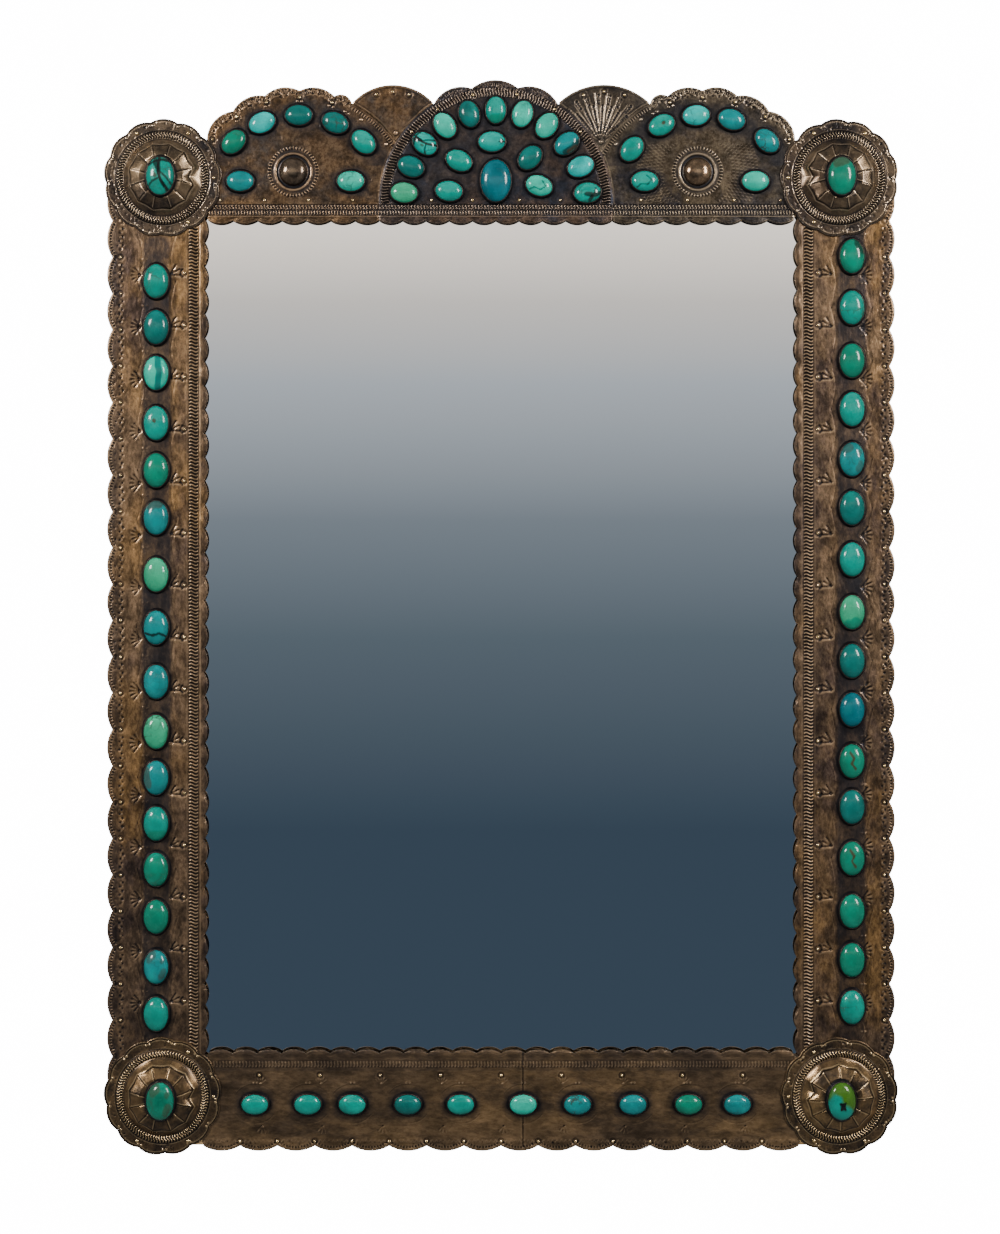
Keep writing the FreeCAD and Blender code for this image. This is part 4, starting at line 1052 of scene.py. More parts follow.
def crest_edge(sheet, cx, cz, radius, cusps):
    """Along the lobes: a border, a comb of short strokes, dots at the cusps, hammered ground."""
    turn = np.degrees(np.arctan2(sheet.near_x - cx, sheet.near_z - cz))
    lobed = np.hypot(sheet.near_x - cx, sheet.near_z - cz) > radius - 0.4
    lobed &= (turn > min(cusps)) & (turn < max(cusps))
    for inset, width, high in ((0.8, 0.5, 0.14), (1.8, 0.5, -0.14), (5.2, 0.6, 0.12)):
        sheet.edge_line(lobed, inset, width, high)
    sheet.edge_ticks(lobed, 3.2, 0.9, 1.8, 0.6)
    for start, end in zip(cusps, cusps[1:]):
        for place in np.linspace(start, end, int(abs(end - start) * 2.6)):
            spot = polar(cx, cz, radius - rng.uniform(-2.0, 4.0), place + rng.uniform(-1, 1))
            sheet.dent(*spot, rng.uniform(0.8, 1.3), 0.4 * rng.uniform(0.5, 1.2))
    for cusp in cusps:
        for shift in (-1.2, 1.2):
            sheet.dome(*polar(cx, cz, radius - 7.6, cusp + shift), 0.9, 0.5)


def boss_rings(sheet, x, z):
    """Round a boss: a dark ditch, a bright ring and a ring of notches."""
    ditch_r, bright_r, notches_r = 11.2, 13.2, 17.2
    sheet.ring(x, z, ditch_r, 1.2, -0.5)
    sheet.ring(x, z, bright_r, 1.1, 0.3)
    radius, turn = sheet.about(x, z)
    across = np.abs(radius - notches_r) / 1.2
    sheet.stamp_bars(True, across, 48 * turn / (2 * np.pi), 0.9)
    sheet.slow += 0.35 * ridge(across, 1)
    sheet.soil_and_shade(bell(radius - 14.9, 0.9), 0.6)
    sheet.soil_and_shade(bell(radius - ditch_r, 1.0), 0.95)


def arch_sheet(side):
    """A side arch of the crest."""
    cx = side * ARCH_X
    cusps = [-side * turn for turn in ARCH_CUSPS]
    near_x, far_x, step_x = MIDDLE_X + side * MIDDLE_R, side * END_X, side * STEP_X
    step_z = CORNER_Z + BUTT_GAP
    outer, meeting = fan_ends(side)[0], arch_meeting(side)
    outline = outline_of(
        lobe_bows(cx, ARCH_Z, ARCH_R, ARCH_LOBE, cusps),
        [polar(cx, ARCH_Z, ARCH_R, cusps[-1]), (far_x, step_z), (step_x, step_z)],
        row_of_bows((step_x, CUSP_IN_Z), (near_x, CUSP_IN_Z), CREST_SIDE_SCALLOPS, side * INNER_BULGE),
        [(near_x, CUSP_IN_Z)],
        way_round(MIDDLE_X, MIDDLE_Z, MIDDLE_R, (near_x, MIDDLE_Z), meeting),
        way_round(cx, ARCH_Z, ARCH_R, meeting, outer)[1:-1],
    )
    sheet = Sheet(outline, CREST_STEP)
    sheet.waves((80, 37, 16), 0.22)
    crest_foot(sheet, step_x, near_x, CREST_SIDE_SCALLOPS)
    crest_edge(sheet, cx, ARCH_Z, ARCH_R, cusps)
    for turn in cusps[1:]:
        bead_seat(sheet, *polar(cx, ARCH_Z, ARCH_R - ARCH_PIN_INSET, turn))
    radius, turn = sheet.about(cx, ARCH_Z)
    turn = turn * -side
    inner_bow = (np.degrees(turn) > 28) & (sheet.Z > MIDDLE_Z + 2)
    sheet.stamp_bars(inner_bow, np.abs(radius - ARCH_R + 3.2) / 1.3, turn * ARCH_R / 2.1, 0.8)
    for place in (35.4, 54.2):
        sheet.dome(*polar(cx, ARCH_Z, ARCH_R - 6.6, -side * place), 1.3, 0.8)
    boss_x, boss_z = cx + BOSS_DX, ARCH_Z + BOSS_DZ
    boss_rings(sheet, boss_x, boss_z)
    if side < 0:
        pepper(sheet, cx, ARCH_Z + 30, 60, 34, 260, 0.16)
    else:
        away, about = sheet.about(boss_x, boss_z)
        low = (sheet.Z > 313) & (sheet.Z < ARCH_Z + 46)
        for row in np.arange(26, 44, 2.8):
            sheet.stamp_bars(low, np.abs(away - row) / 0.9, row * about / 2.4, 0.3)
    crest = "crest_" + SIDES[side]
    # painted shade round each stone
    for stone in SETTINGS[crest]:
        sheet.shade_round_setting(*stone, reach=3.4)
    field = ridge(radius - ARCH_ROW_R, 12) * (sheet.Z > ARCH_Z + 30)
    sheet.soil_and_shade(field, 0.6 if side < 0 else 0.8)
    sheet.mesh(crest + "_silver", SILVER[crest], [crest + "_sheet"])


def middle_sheet():
    """The middle arch, with a roped band along its curve."""
    left, right = MIDDLE_X - MIDDLE_R, MIDDLE_X + MIDDLE_R
    circle = MIDDLE_X, MIDDLE_Z, MIDDLE_R
    ends = [fan_ends(side)[1] for side in SIDES]
    outline = outline_of(
        way_round(*circle, (left, MIDDLE_Z), ends[0], 40)[:-1],
        lobe_bows(*circle, MIDDLE_LOBE, MIDDLE_CUSPS),
        way_round(*circle, ends[1], (right, MIDDLE_Z), 40),
        row_of_bows((right, CUSP_IN_Z), (left, CUSP_IN_Z), CREST_MIDDLE_SCALLOPS, INNER_BULGE),
        [(left, CUSP_IN_Z)],
    )
    sheet = Sheet(outline, CREST_STEP)
    sheet.waves((80, 37, 16), 0.22)
    crest_foot(sheet, left, right, CREST_MIDDLE_SCALLOPS)
    crest_edge(sheet, *circle, MIDDLE_CUSPS)
    radius, turn = sheet.about(MIDDLE_X, MIDDLE_Z)
    above = sheet.Z > MIDDLE_Z - 1.0
    across = np.where(above, (radius - MIDDLE_ROPE_R) / MIDDLE_ROPE_HALF, 9.0)
    sheet.band(across, turn * MIDDLE_ROPE_R, 2.1, bend=0.3)
    for angle in MIDDLE_PIN_TURNS:
        bead_seat(sheet, *polar(MIDDLE_X, MIDDLE_Z, MIDDLE_R - ARCH_PIN_INSET, angle))
    # painted shade round each stone
    for stone in SETTINGS["crest_middle"] + SETTINGS["crest_centre"]:
        sheet.shade_round_setting(*stone, reach=4.0)
    sheet.soil_and_shade(above * np.clip(1 - (radius / 80) ** 4, 0, 1), 0.45)
    sheet.soil_and_shade(above * bell(radius - 84, 9) * (np.abs(turn) < 0.75), 0.5)
    sheet.mesh("crest_middle_silver", SILVER["crest_middle"], ["crest_middle_sheet"])


def fan_circle(side):
    """Centre and radius of the circle through a fan's two ends and its top."""
    outer, inner = fan_ends(side)
    top = np.array((MIDDLE_X + side * FAN_DX, FAN_TOP_Z))
    rows = np.array([top - outer, inner - outer]) * 2
    centre = np.linalg.solve(rows, [top @ top - outer @ outer, inner @ inner - outer @ outer])
    return centre, np.linalg.norm(outer - centre)


def fan_sheet(side):
    """The small fan between two arches, with rays from a bead low in the gap."""
    outer, inner = fan_ends(side)
    centre, radius = fan_circle(side)
    meeting = arch_meeting(side)
    outline = outline_of(
        way_round(*centre, radius, outer, inner, 40),
        way_round(MIDDLE_X, MIDDLE_Z, MIDDLE_R, inner, meeting)[1:],
        way_round(side * ARCH_X, ARCH_Z, ARCH_R, meeting, outer)[1:-1],
    )
    sheet = Sheet(outline, FAN_STEP)
    sheet.waves((60, 25, 11), 0.18)
    x, z = meeting + (0, FAN_BEAD_RISE)
    rays = np.linspace(-50, 50, 9 if side < 0 else 8)
    for turn in rays:
        stroke = np.array([polar(x, z, 2.5, turn), polar(x, z, 36 - 0.1 * abs(turn), turn)])
        bold = 0.3 if abs(turn) < 25 else 0.12
        sheet.stroke(stroke, 0.8, 0.06 if side < 0 else bold)
        sheet.stroke(stroke + (0.9, 0), 0.6, -0.05 if side < 0 else -0.3)
    if side > 0:
        step = rays[1] - rays[0]
        for first in rays[:-1]:
            for reach in np.arange(7, 34, 1.9):
                spot = polar(x, z, reach, first + step * (0.5 + 0.18 * (-1) ** int(reach)))
                sheet.dent(*spot, 1.3, rng.uniform(0.3, 0.9))
        sheet.soil_and_shade(1.0, 0.3)
    else:
        pepper(sheet, *centre, 28, 28, 90, 0.12)
    sheet.dome(x, z, 1.7, 1.2)
    for turn in FAN_PIN_TURNS:
        bead_seat(sheet, *polar(*centre, radius - ARCH_PIN_INSET, turn))
    edge = sheet.near_z > meeting[1] + 20
    sheet.edge_line(edge, 0.8, 0.5, 0.12)
    sheet.edge_line(edge, 2.2, 0.6, -0.2)
    crest = "crest_" + SIDES[side]
    sheet.mesh(crest + "_fan_silver", SILVER[crest], [crest + "_fan"])


# Conchos, bosses and pin heads

CONCHO_FOOT = FRONT_Y - 1.0
LOBES, LOBE_CUSP_R, LOBE_RISE = 13, 40.8, 1.8
RIM_IN_R = 34.0
RIM_DOT_R = 38.2
ROPE_R, ROPE_IN_R, ROPE_HIGH, ROPE_BARS = 30.8, 28.5, 2.0, 96
COVE_HIGH, STAR_HIGH, DOME_HIGH, DOME_TOP_R = 0.8, 5.8, 9.0, 15.6
STAR_POINT_R, STAR_NOTCH_R, STAR_DEEP_R, STAR_RAYS = 23.6, 22.3, 19.3, 12
DITCH_R, SHADOW_R, SHADOW_FULL_R = 27.6, 14.5, 11.5    # dirt inside the rope, and painted shadow under the stone
FAR = 9.0                 # stands for nothing in reach
CONCHO_SIDES = 576
# across and up from the middle, turn of the star, turn of the lobes
CONCHOS = {
    "top_left": (-1, 1, 14.0, 15.4),
    "top_right": (1, 1, 16.0, 8.7),
    "bottom_left": (-1, -1, 14.0, 11.6),
    "bottom_right": (1, -1, -2.0, 10.4),
}


def lobe_radius(turn):
    """Radius of the lobed edge at an angle in radians from a cusp."""
    half = math.pi / LOBES
    chord = LOBE_CUSP_R * math.sin(half)
    rise = LOBE_CUSP_R + LOBE_RISE - LOBE_CUSP_R * math.cos(half)
    arc_r = (chord**2 + rise**2) / (2 * rise)
    centre = LOBE_CUSP_R + LOBE_RISE - arc_r
    off = (turn % (2 * half)) - half
    return centre * np.cos(off) + np.sqrt(arc_r**2 - (centre * np.sin(off)) ** 2)


def star_radius(turn, notch):
    """Radius of the star's outline at an angle from one of its points, in straight stretches."""
    half = math.pi / STAR_RAYS
    off = np.abs((turn + half) % (2 * half) - half)
    return STAR_POINT_R * notch * math.sin(half) / (notch * np.sin(half - off) + STAR_POINT_R * np.sin(off))


def rim_marks(radii, turn, gap, lobe_turn):
    """Heights on a concho's rim: a border, a twisted line, hammered ground, two dots at each cusp."""
    high = 0.12 * ridge(gap - 0.6, 0.5) + 0.2 * ridge(radii - RIM_IN_R - 0.5, 0.5)
    high += 0.2 * ridge(gap - 2.6, 0.7) * (0.4 + 0.6 * np.cos(2 * np.pi * turn * 40.0 / 1.5))
    for _ in range(150):
        spot, reach = rng.uniform(0, 2 * math.pi), rng.uniform(34.6, 41.0)
        near = (np.abs(np.sin((turn - spot) / 2)) < 0.03) & (np.abs(radii - reach) < 1.6)
        away = np.hypot((turn[near] - spot) * reach, radii[near] - reach)
        high[near] -= 0.22 * ridge(away, 1.1)
    for i in range(LOBES):
        for shift in (-1.9, 1.9):
            spot = 2 * math.pi * i / LOBES + math.radians(lobe_turn + shift)
            away = np.hypot(radii * np.cos(turn) - RIM_DOT_R * np.cos(spot),
                            radii * np.sin(turn) - RIM_DOT_R * np.sin(spot))
            high += 0.5 * np.sqrt(ridge(away, 0.9))
    return high - 0.3 * ridge(radii - RIM_IN_R, 0.5)


def concho(name, cx, cz, star_turn, lobe_turn):
    """A lobed button: bordered rim, roped ring, cove, engraved star, dome under the stone."""
    around = np.arange(CONCHO_SIDES) * 2 * math.pi / CONCHO_SIDES
    edge = lobe_radius(around - math.radians(lobe_turn))
    inner = np.concatenate([np.linspace(9.0, 23.9, 34), np.linspace(24.3, RIM_IN_R, 34)])
    share = np.linspace(0, 1, 18)[1:]
    radii = np.concatenate([
        np.repeat(inner[:, None], CONCHO_SIDES, 1),
        RIM_IN_R + share[:, None] * (edge - RIM_IN_R - 0.02),
    ])
    turn = np.broadcast_to(around, radii.shape)
    star = turn - math.radians(star_turn)
    gap = edge - radii
    high = rim_marks(radii, turn, gap, lobe_turn)
    # roped ring
    across = (radii - ROPE_R) / 2.7
    turns = ROPE_BARS * turn / (2 * np.pi) + 0.34 * np.sin(np.pi * across)
    slow = ROPE_HIGH * np.sqrt(ridge(across, 1)) * (0.8 + 0.2 * np.cos(2 * np.pi * turns))
    bars = np.stack([np.minimum(np.abs(across) / 0.95, BARS_FAR), turns, np.ones(radii.shape)], -1)
    # cove, up to the star, with a deeper notch on the side that faces the glass
    sector_wide = 2 * math.pi / STAR_RAYS
    notch = round((math.atan2(-cx, 0) - math.radians(star_turn)) / sector_wide - 0.5) + 0.5
    off = np.abs((star - notch * sector_wide + math.pi) % (2 * math.pi) - math.pi)
    star_edge = star_radius(star, np.where(off < sector_wide / 2, STAR_DEEP_R, STAR_NOTCH_R))
    climb = np.clip((ROPE_IN_R - radii) / (ROPE_IN_R - star_edge), 0, 1)
    rise = np.clip((star_edge - radii) / (star_edge - DOME_TOP_R), 0, 1)
    top = STAR_HIGH + (DOME_HIGH - STAR_HIGH) * rise**0.85
    body = np.where(radii < star_edge, top, COVE_HIGH + (STAR_HIGH - COVE_HIGH) * climb**1.3)
    slow = np.where(radii < ROPE_IN_R, np.maximum(slow, body), slow)
    # flat facets, tipped to one hand and the other, that meet on engraved rays
    sector = np.floor(star / sector_wide)
    fade = smooth(11.0, 15.0, radii) * np.clip((star_edge + 0.3 - radii) / 0.8, 0, 1)
    slow += fade * 0.13 * (-1.0) ** sector * radii * np.sin(star - (sector + 0.5) * sector_wide)
    slow -= 0.35 * ridge(radii - star_edge, 0.6)
    off = np.sin(star * STAR_RAYS / 2) * 2 * radii / STAR_RAYS
    rays = (radii < star_edge - 0.2) & (radii > 10)
    slow -= np.where(rays, 0.25 * ridge(off, 0.6), 0)
    cuts = np.stack([np.where(rays, off, FAR), np.minimum(radii - star_edge, FAR), gap - 1.3], -1)
    # dirt in the ditches on both sides of the rope and on the rim, and painted shadow under the stone
    dark = np.where(radii > RIM_IN_R, 0.52 if cz > 0 else 0.4, 0.38 * (np.abs(across) < 1))
    ditches = 0.8 * bell(radii - RIM_IN_R, 0.8), 0.7 * bell(radii - DITCH_R, 0.6)
    for shade in (*ditches, 0.8 * smooth(SHADOW_R, SHADOW_FULL_R, radii)):
        dark = np.maximum(dark, shade)
    # the grid runs from the rim inward, behind it a ring on the frame's face
    grid = np.stack([cx + radii * np.sin(turn), CONCHO_FOOT - high - slow, cz + radii * np.cos(turn)], -1)
    grid = np.concatenate([grid, grid[-1:]])
    grid[-2, :, 1] += 0.3
    grid[-1, :, 1] = FRONT_Y
    points, faces = lathe(grid[::-1, ::-1])
    marks = {}
    for mark, values, at_foot in (("worn", worn_of(high, 1.5), LEVEL), ("dark", dark, 0.0),
                                  ("bars", bars, 0.0), ("cuts", cuts, FAR)):
        values = np.concatenate([values, np.full_like(values[:1], at_foot)])[::-1, ::-1]
        marks[mark] = values.reshape(len(points), -1).squeeze()
    make_piece(name + "_silver", points, faces, SILVER["top_conchos" if cz > 0 else "bottom_conchos"],
               "concho_silver", [name], angle=70.0, marks=marks)


def dome_rings(x, z, size, lean, foot, shares, heights, sides, grow=0.0):
    """Rings of an oval dome about the line to the front, for a lathe."""
    turn = 2 * math.pi * np.arange(sides) / sides
    tilt = math.radians(lean)
    rings = []
    for share, height, more in zip(shares, heights, np.broadcast_to(grow, len(shares))):
        across = (size[0] * share + more) * np.cos(turn)
        up = (size[1] * share + more) * np.sin(turn)
        rings.append(np.stack([
            x + across * math.cos(tilt) + up * math.sin(tilt),
            np.full(sides, foot - height),
            z + up * math.cos(tilt) - across * math.sin(tilt),
        ], 1))
    return np.array(rings)


def round_shares(levels):
    """Shares of the foot from 1 to nearly 0, closer together at the steep rim."""
    return np.sin(np.linspace(math.pi / 2, 0.06, levels))


def boss(side):
    """A plain round button, with its foot sunk a little into the sheet."""
    shares, sides, sunk = round_shares(26), 72, 0.3
    heights = BOSS_HIGH * (1 - shares**2.2) ** 0.5
    place = side * ARCH_X + BOSS_DX, ARCH_Z + BOSS_DZ
    heights += sunk * (heights > 0)
    rings = dome_rings(*place, (BOSS_R, BOSS_R), 0, FRONT_Y + sunk, shares, heights, sides)
    marks = {
        "worn": np.repeat(0.45 + 0.22 * (1 - shares), sides),
        "dark": np.repeat(smooth(0.86, 1, shares), sides),
    }
    name = "crest_" + SIDES[side] + "_boss"
    make_piece(name + "_silver", *lathe(rings), SILVER["bosses"], "concho_silver", [name],
               angle=60.0, marks=marks)


def beads(name, spots, replaces, foot=FRONT_Y, radius=1.2):
    """Round pin heads, with their feet sunk a little into the sheet."""
    shares, sides, sunk = round_shares(8), 18, 0.4
    heights = 1.1 * np.sqrt(1 - shares**2)
    heights += sunk * (heights > 0.01)
    # painted shade darkens the outer part and foot of each head
    marks = {
        "worn": np.repeat(0.7 - 0.5 * (shares > 0.9), sides),
        "dark": np.repeat(smooth(0.65, 0.95, shares), sides),
    }
    parts = []
    for x, z in spots:
        size = radius * rng.uniform(0.9, 1.08)
        rings = dome_rings(x, z, (size, size), 0, foot + sunk, shares, heights, sides)
        parts.append((*lathe(rings), marks))
    points, faces, marks = joined(parts)
    make_piece(name, points, faces, SILVER["pins"], "pin_steel", replaces, angle=60.0, marks=marks)


def all_beads():
    foot, head = SIDE_OUTER_ROW
    step = (head - foot) / SIDE_OUTER
    for side, word in SIDES.items():
        spots = [(side * SIDE_BEAD_X[side], foot + i * step) for i in range(2, SIDE_OUTER - 1)]
        spots += [(side * SIDE_PIN_X, z) for z in SIDE_PINS_Z]
        beads(word + "_side_pin_heads", spots, [word + "_side_pins"])
    step = 2 * END_X / BOTTOM_OUTER
    spots = [(-END_X + i * step, BOTTOM_BEAD_Z) for i in range(1, BOTTOM_OUTER)]
    spots += [(x, BOTTOM_PIN_Z) for x in BOTTOM_PINS_X]
    beads("bottom_pin_heads", spots, ["bottom_pins"])
    spots = []
    for side in SIDES:
        pin_r = ARCH_R - ARCH_PIN_INSET
        spots += [polar(side * ARCH_X, ARCH_Z, pin_r, -side * turn) for turn in ARCH_CUSPS[1:]]
        centre, radius = fan_circle(side)
        spots += [polar(*centre, radius - ARCH_PIN_INSET, turn) for turn in FAN_PIN_TURNS]
        start, end = MIDDLE_X + side * MIDDLE_R, side * END_X
        spots += [(start + share * (end - start), CREST_PIN_Z) for share in ARCH_PIN_SHARES]
    spots += [polar(MIDDLE_X, MIDDLE_Z, MIDDLE_R - ARCH_PIN_INSET, turn) for turn in MIDDLE_PIN_TURNS]
    spots += [(MIDDLE_X + share * MIDDLE_R, CREST_PIN_Z) for share in MIDDLE_PIN_SHARES]
    beads("crest_pin_heads", spots, ["crest_pins"])
    offsets = [polar(0, 0, CONCHO_PIN_R, turn) for turn in CONCHO_PIN_TURNS]
    corners = [(side, level) for side in SIDES for level in (-1, 1)]
    spots = [(side * (CORNER_X - x), level * (CORNER_Z - z)) for side, level in corners for x, z in offsets]
    beads("concho_pin_heads", spots, ["concho_pins"], CONCHO_FOOT, 1.45)


# Stones and bezels

TONES = {
    "teal": srgb(0, 108, 96),
    "deep": srgb(0, 82, 78),
    "pale": srgb(20, 148, 128),
    "mid": srgb(0, 116, 104),
    "blue": srgb(0, 102, 104),
    "green": srgb(0, 98, 78),
    "bright": srgb(0, 128, 118),
    "palegreen": srgb(36, 132, 98),
    "paleblue": srgb(8, 142, 138),
    "deepblue": srgb(0, 80, 90),
    "olive": srgb(48, 84, 20),
    "brown": srgb(52, 36, 18),
    "black": srgb(10, 14, 14),
}
# one word of tone and one of pattern for each stone, row by row
LOOKS = {
    "left_side": "teal veined, deep plain, pale stripe, mid spot, green plain, blue top, palegreen plain, "
    "blue crack, blue mottled, palegreen veined, blue left, teal low, green mottled, green plain, "
    "blue patches, teal plain",
    "right_side": "green corner, teal veined, green plain, mid plain, blue patches, deep plain, mid plain, "
    "palegreen low, deep plain, deepblue plain, green squiggle, deep plain, green squiggle, "
    "green plain, green plain, teal specks",
    "bottom": "mid plain, mid plain, mid mottled, deep plain, mid plain, pale plain, blue veined, "
    "blue plain, green plain, blue mottled",
    "crest_left": "green mottled, paleblue plain, deep plain, deep veined, mid mottled, blue mottled, "
    "pale specks",
    "crest_right": "mid mottled, mid spot, paleblue specks, blue plain, blue veined, mid loop, pale plain",
    "crest_middle": "palegreen plain, deep plain, bright web, pale plain, deep mottled, mid low, "
    "pale mottled, pale plain, blue right, paleblue mottled, mid matrix, mid mottled, mid plain, "
    "bright nick, deep plain, pale loop",
    "crest_centre": "deepblue mottled",
    "concho": "teal web, green patches, green top, olive star",
}
# strokes on a stone: points from -1 to 1 across and up it, half width, colour and strength
MARKS = {
    "stripe": [([(0.1, 1.0), (0.32, 0.1), (0.1, -1.0)], 0.22, "deep", 0.9)],
    "spot": [([(-0.12, 0.15), (-0.05, 0.12)], 0.13, "brown", 0.85)],
    "top": [([(-0.4, 0.72), (0.3, 0.8)], 0.28, "brown", 0.6)],
    "low": [([(-0.3, -0.7), (0.4, -0.62)], 0.34, "green", 0.85)],
    "left": [([(-0.7, 0.3), (-0.6, -0.3)], 0.3, "brown", 0.6)],
    "right": [
        ([(0.55, 0.7), (0.62, 0.1), (0.5, -0.5)], 0.24, "black", 0.75),
        ([(0.78, 0.3), (0.75, -0.2)], 0.2, "brown", 0.7),
    ],
    "corner": [([(0.5, 0.75), (0.75, 0.45)], 0.36, "black", 0.7)],
    "crack": [([(-0.8, -0.3), (-0.2, -0.42), (0.3, -0.3), (0.85, -0.5)], 0.07, "black", 0.9)],
    "squiggle": [([(-0.2, 0.5), (0.1, 0.2), (-0.1, -0.1), (0.2, -0.4)], 0.08, "brown", 0.85)],
    "loop": [([(-0.5, 0.1), (-0.1, 0.45), (0.35, 0.2), (0.3, -0.3), (0.6, -0.55)], 0.05, "black", 0.7)],
    "nick": [
        ([(0.0, 1.0), (0.05, 0.55)], 0.08, "black", 0.9),
        ([(-0.15, 0.7), (0.2, 0.68)], 0.06, "black", 0.7),
    ],
    "patches": [
        ([(-0.5, 0.55), (-0.2, 0.7)], 0.26, "brown", 0.5),
        ([(0.45, -0.5), (0.6, -0.3)], 0.24, "brown", 0.5),
        ([(0.5, 0.35), (0.55, 0.4)], 0.16, "brown", 0.45),
    ],
    "matrix": [
        ([(0.1, 0.9), (0.35, 0.3), (0.15, -0.1)], 0.2, "black", 0.85),
        ([(0.35, 0.3), (0.8, 0.1)], 0.12, "black", 0.8),
        ([(-0.3, 0.6), (0.2, 0.5)], 0.1, "black", 0.7),
    ],
    "web": [
        ([(-0.8, 0.55), (-0.3, 0.72), (0.1, 0.8), (0.7, 0.72)], 0.07, "black", 0.9),
        ([(0.0, 1.0), (-0.05, 0.5), (-0.1, 0.2), (0.1, -0.25), (0.62, -0.85)], 0.1, "black", 0.95),
        ([(-0.3, 0.7), (-0.05, 0.35)], 0.17, "black", 0.85),
        ([(-0.1, 0.3), (0.45, -0.1), (0.8, -0.45)], 0.06, "black", 0.85),
        ([(0.0, -0.12), (-0.5, -0.3), (-0.85, -0.6)], 0.06, "black", 0.85),
        ([(-0.35, 0.05), (-0.3, 0.0)], 0.12, "brown", 0.7),
    ],
    "star": [
        ([(0.0, -0.15), (0.05, -0.22)], 0.17, "black", 1.0),
        ([(-0.14, -0.05), (0.2, -0.35)], 0.07, "black", 1.0),
        ([(0.2, -0.02), (-0.1, -0.34)], 0.07, "black", 1.0),
        ([(-0.5, -0.1), (-0.2, -0.5), (0.25, -0.75)], 0.5, "teal", 1.0),
    ],
}
VEINS = {"veined": 0.9, "web": 0.6, "mottled": 0.35, "specks": 0.6, "patches": 0.4, "matrix": 0.6}


def clouds(u, v, count=5):
    """Slow waves over a stone, different for each."""
    total = np.zeros(u.shape)
    for _ in range(count):
        turn, phase = rng.uniform(0, 2 * np.pi, 2)
        pace = rng.uniform(1.5, 4.5)
        total += np.sin(pace * (u * math.cos(turn) + v * math.sin(turn)) + phase)
    return total / count


def paint(tone, pattern, u, v):
    """Colour over a stone, from its words."""
    def toward(colour, name, share):
        return colour + (np.array(TONES[name]) - colour) * share[:, None]

    strong = pattern in ("mottled", "specks", "patches")
    colour = np.array(TONES[tone]) * (1 + (0.34 if strong else 0.14) * clouds(u, v)[:, None])
    colour = toward(colour, "pale", np.clip(clouds(u, v) * 1.4 - 0.35, 0, 1) * (0.5 if strong else 0.12))
    for path, half, shade, strength in sorted(MARKS.get(pattern, []), key=lambda mark: -mark[1]):
        ragged = half * (1 + 0.35 * clouds(3 * u, 3 * v))
        cover = np.clip((ragged - path_gap(u, v, path, FAR)) / (0.35 * half) + 0.5, 0, 1)
        colour = toward(colour, shade, cover * strength)
    # painted shade: each stone darkens towards its rim
    rim = smooth(0.86, 1, np.hypot(u, v))[:, None]
    return np.clip(colour * (1 - 0.35 * rim), 0, 1)


STONE_SIDES = 72
STONE_SHARES = round_shares(22)
LIP_HIGH = 2.6            # where the bezel's lip meets the stone
# share of the stone's size (1 at its foot, None at the lip), growth, height, wear and dirt
BEZEL_PROFILE = (
    (1.0, 1.35, -0.3, 0.3, 0.9),
    (1.0, 1.35, 0.05, 0.3, 0.9),
    (1.0, 1.05, 0.35, 0.2, 0.9),
    (1.0, 0.85, 1.0, 0.3, 0.8),
    (None, 0.95, 2.0, 0.45, 0.6),
    (None, 0.70, 2.5, 0.66, 0.3),
    (None, 0.35, 2.75, 0.72, 0.3),
    (None, 0.05, 2.7, 0.45, 0.6),
    (None, -0.25, 2.3, 0.2, 1.0),
)


def row_of_stones(row, settings):
    """The stones and the bezels of a row, one piece each."""
    many = "" if len(settings) == 1 else "s"
    foot = CONCHO_FOOT - DOME_HIGH if row == "concho" else FRONT_Y
    turn = 2 * math.pi * np.arange(STONE_SIDES) / STONE_SIDES
    u = (STONE_SHARES[:, None] * np.cos(turn)).ravel()
    v = (STONE_SHARES[:, None] * np.sin(turn)).ravel()
    stones, bezels = [], []
    for setting, look in zip(settings, LOOKS[row].split(", ")):
        tone, pattern = look.split()
        high = SMALL_STONE_HIGH if min(setting[2]) < SIDE_STONE[0] else STONE_HIGH
        heights = high * (1 - STONE_SHARES**2.4) ** 0.45
        points, faces = lathe(dome_rings(*setting, foot, STONE_SHARES, heights, STONE_SIDES))
        marks = {"tint": paint(tone, pattern, u, v), "vein": np.full(len(points), VEINS.get(pattern, 0.05))}
        stones.append((points, faces, marks))
        at_lip = (1 - (LIP_HIGH / high) ** (1 / 0.45)) ** (1 / 2.4)
        share, grow, height, worn, dark = zip(*BEZEL_PROFILE)
        share = [at_lip if one is None else one for one in share]
        rings = dome_rings(*setting, foot, share, height, STONE_SIDES, grow)
        marks = {"worn": np.repeat(worn, STONE_SIDES), "dark": np.repeat(dark, STONE_SIDES)}
        bezels.append((*lathe(rings), marks))
    points, faces, marks = joined(stones)
    make_piece(row + "_turquoise" + many, points, faces, TURQUOISE, "turquoise", [row + "_stone" + many],
               angle=80.0, marks=marks)
    points, faces, marks = joined(bezels)
    make_piece(row + "_silver_bezel" + many, points, faces, SILVER["bezels"], "bezel_silver",
               [row + "_bezel" + many], angle=50.0, marks=marks)


# Hanging gear and fasteners on the back

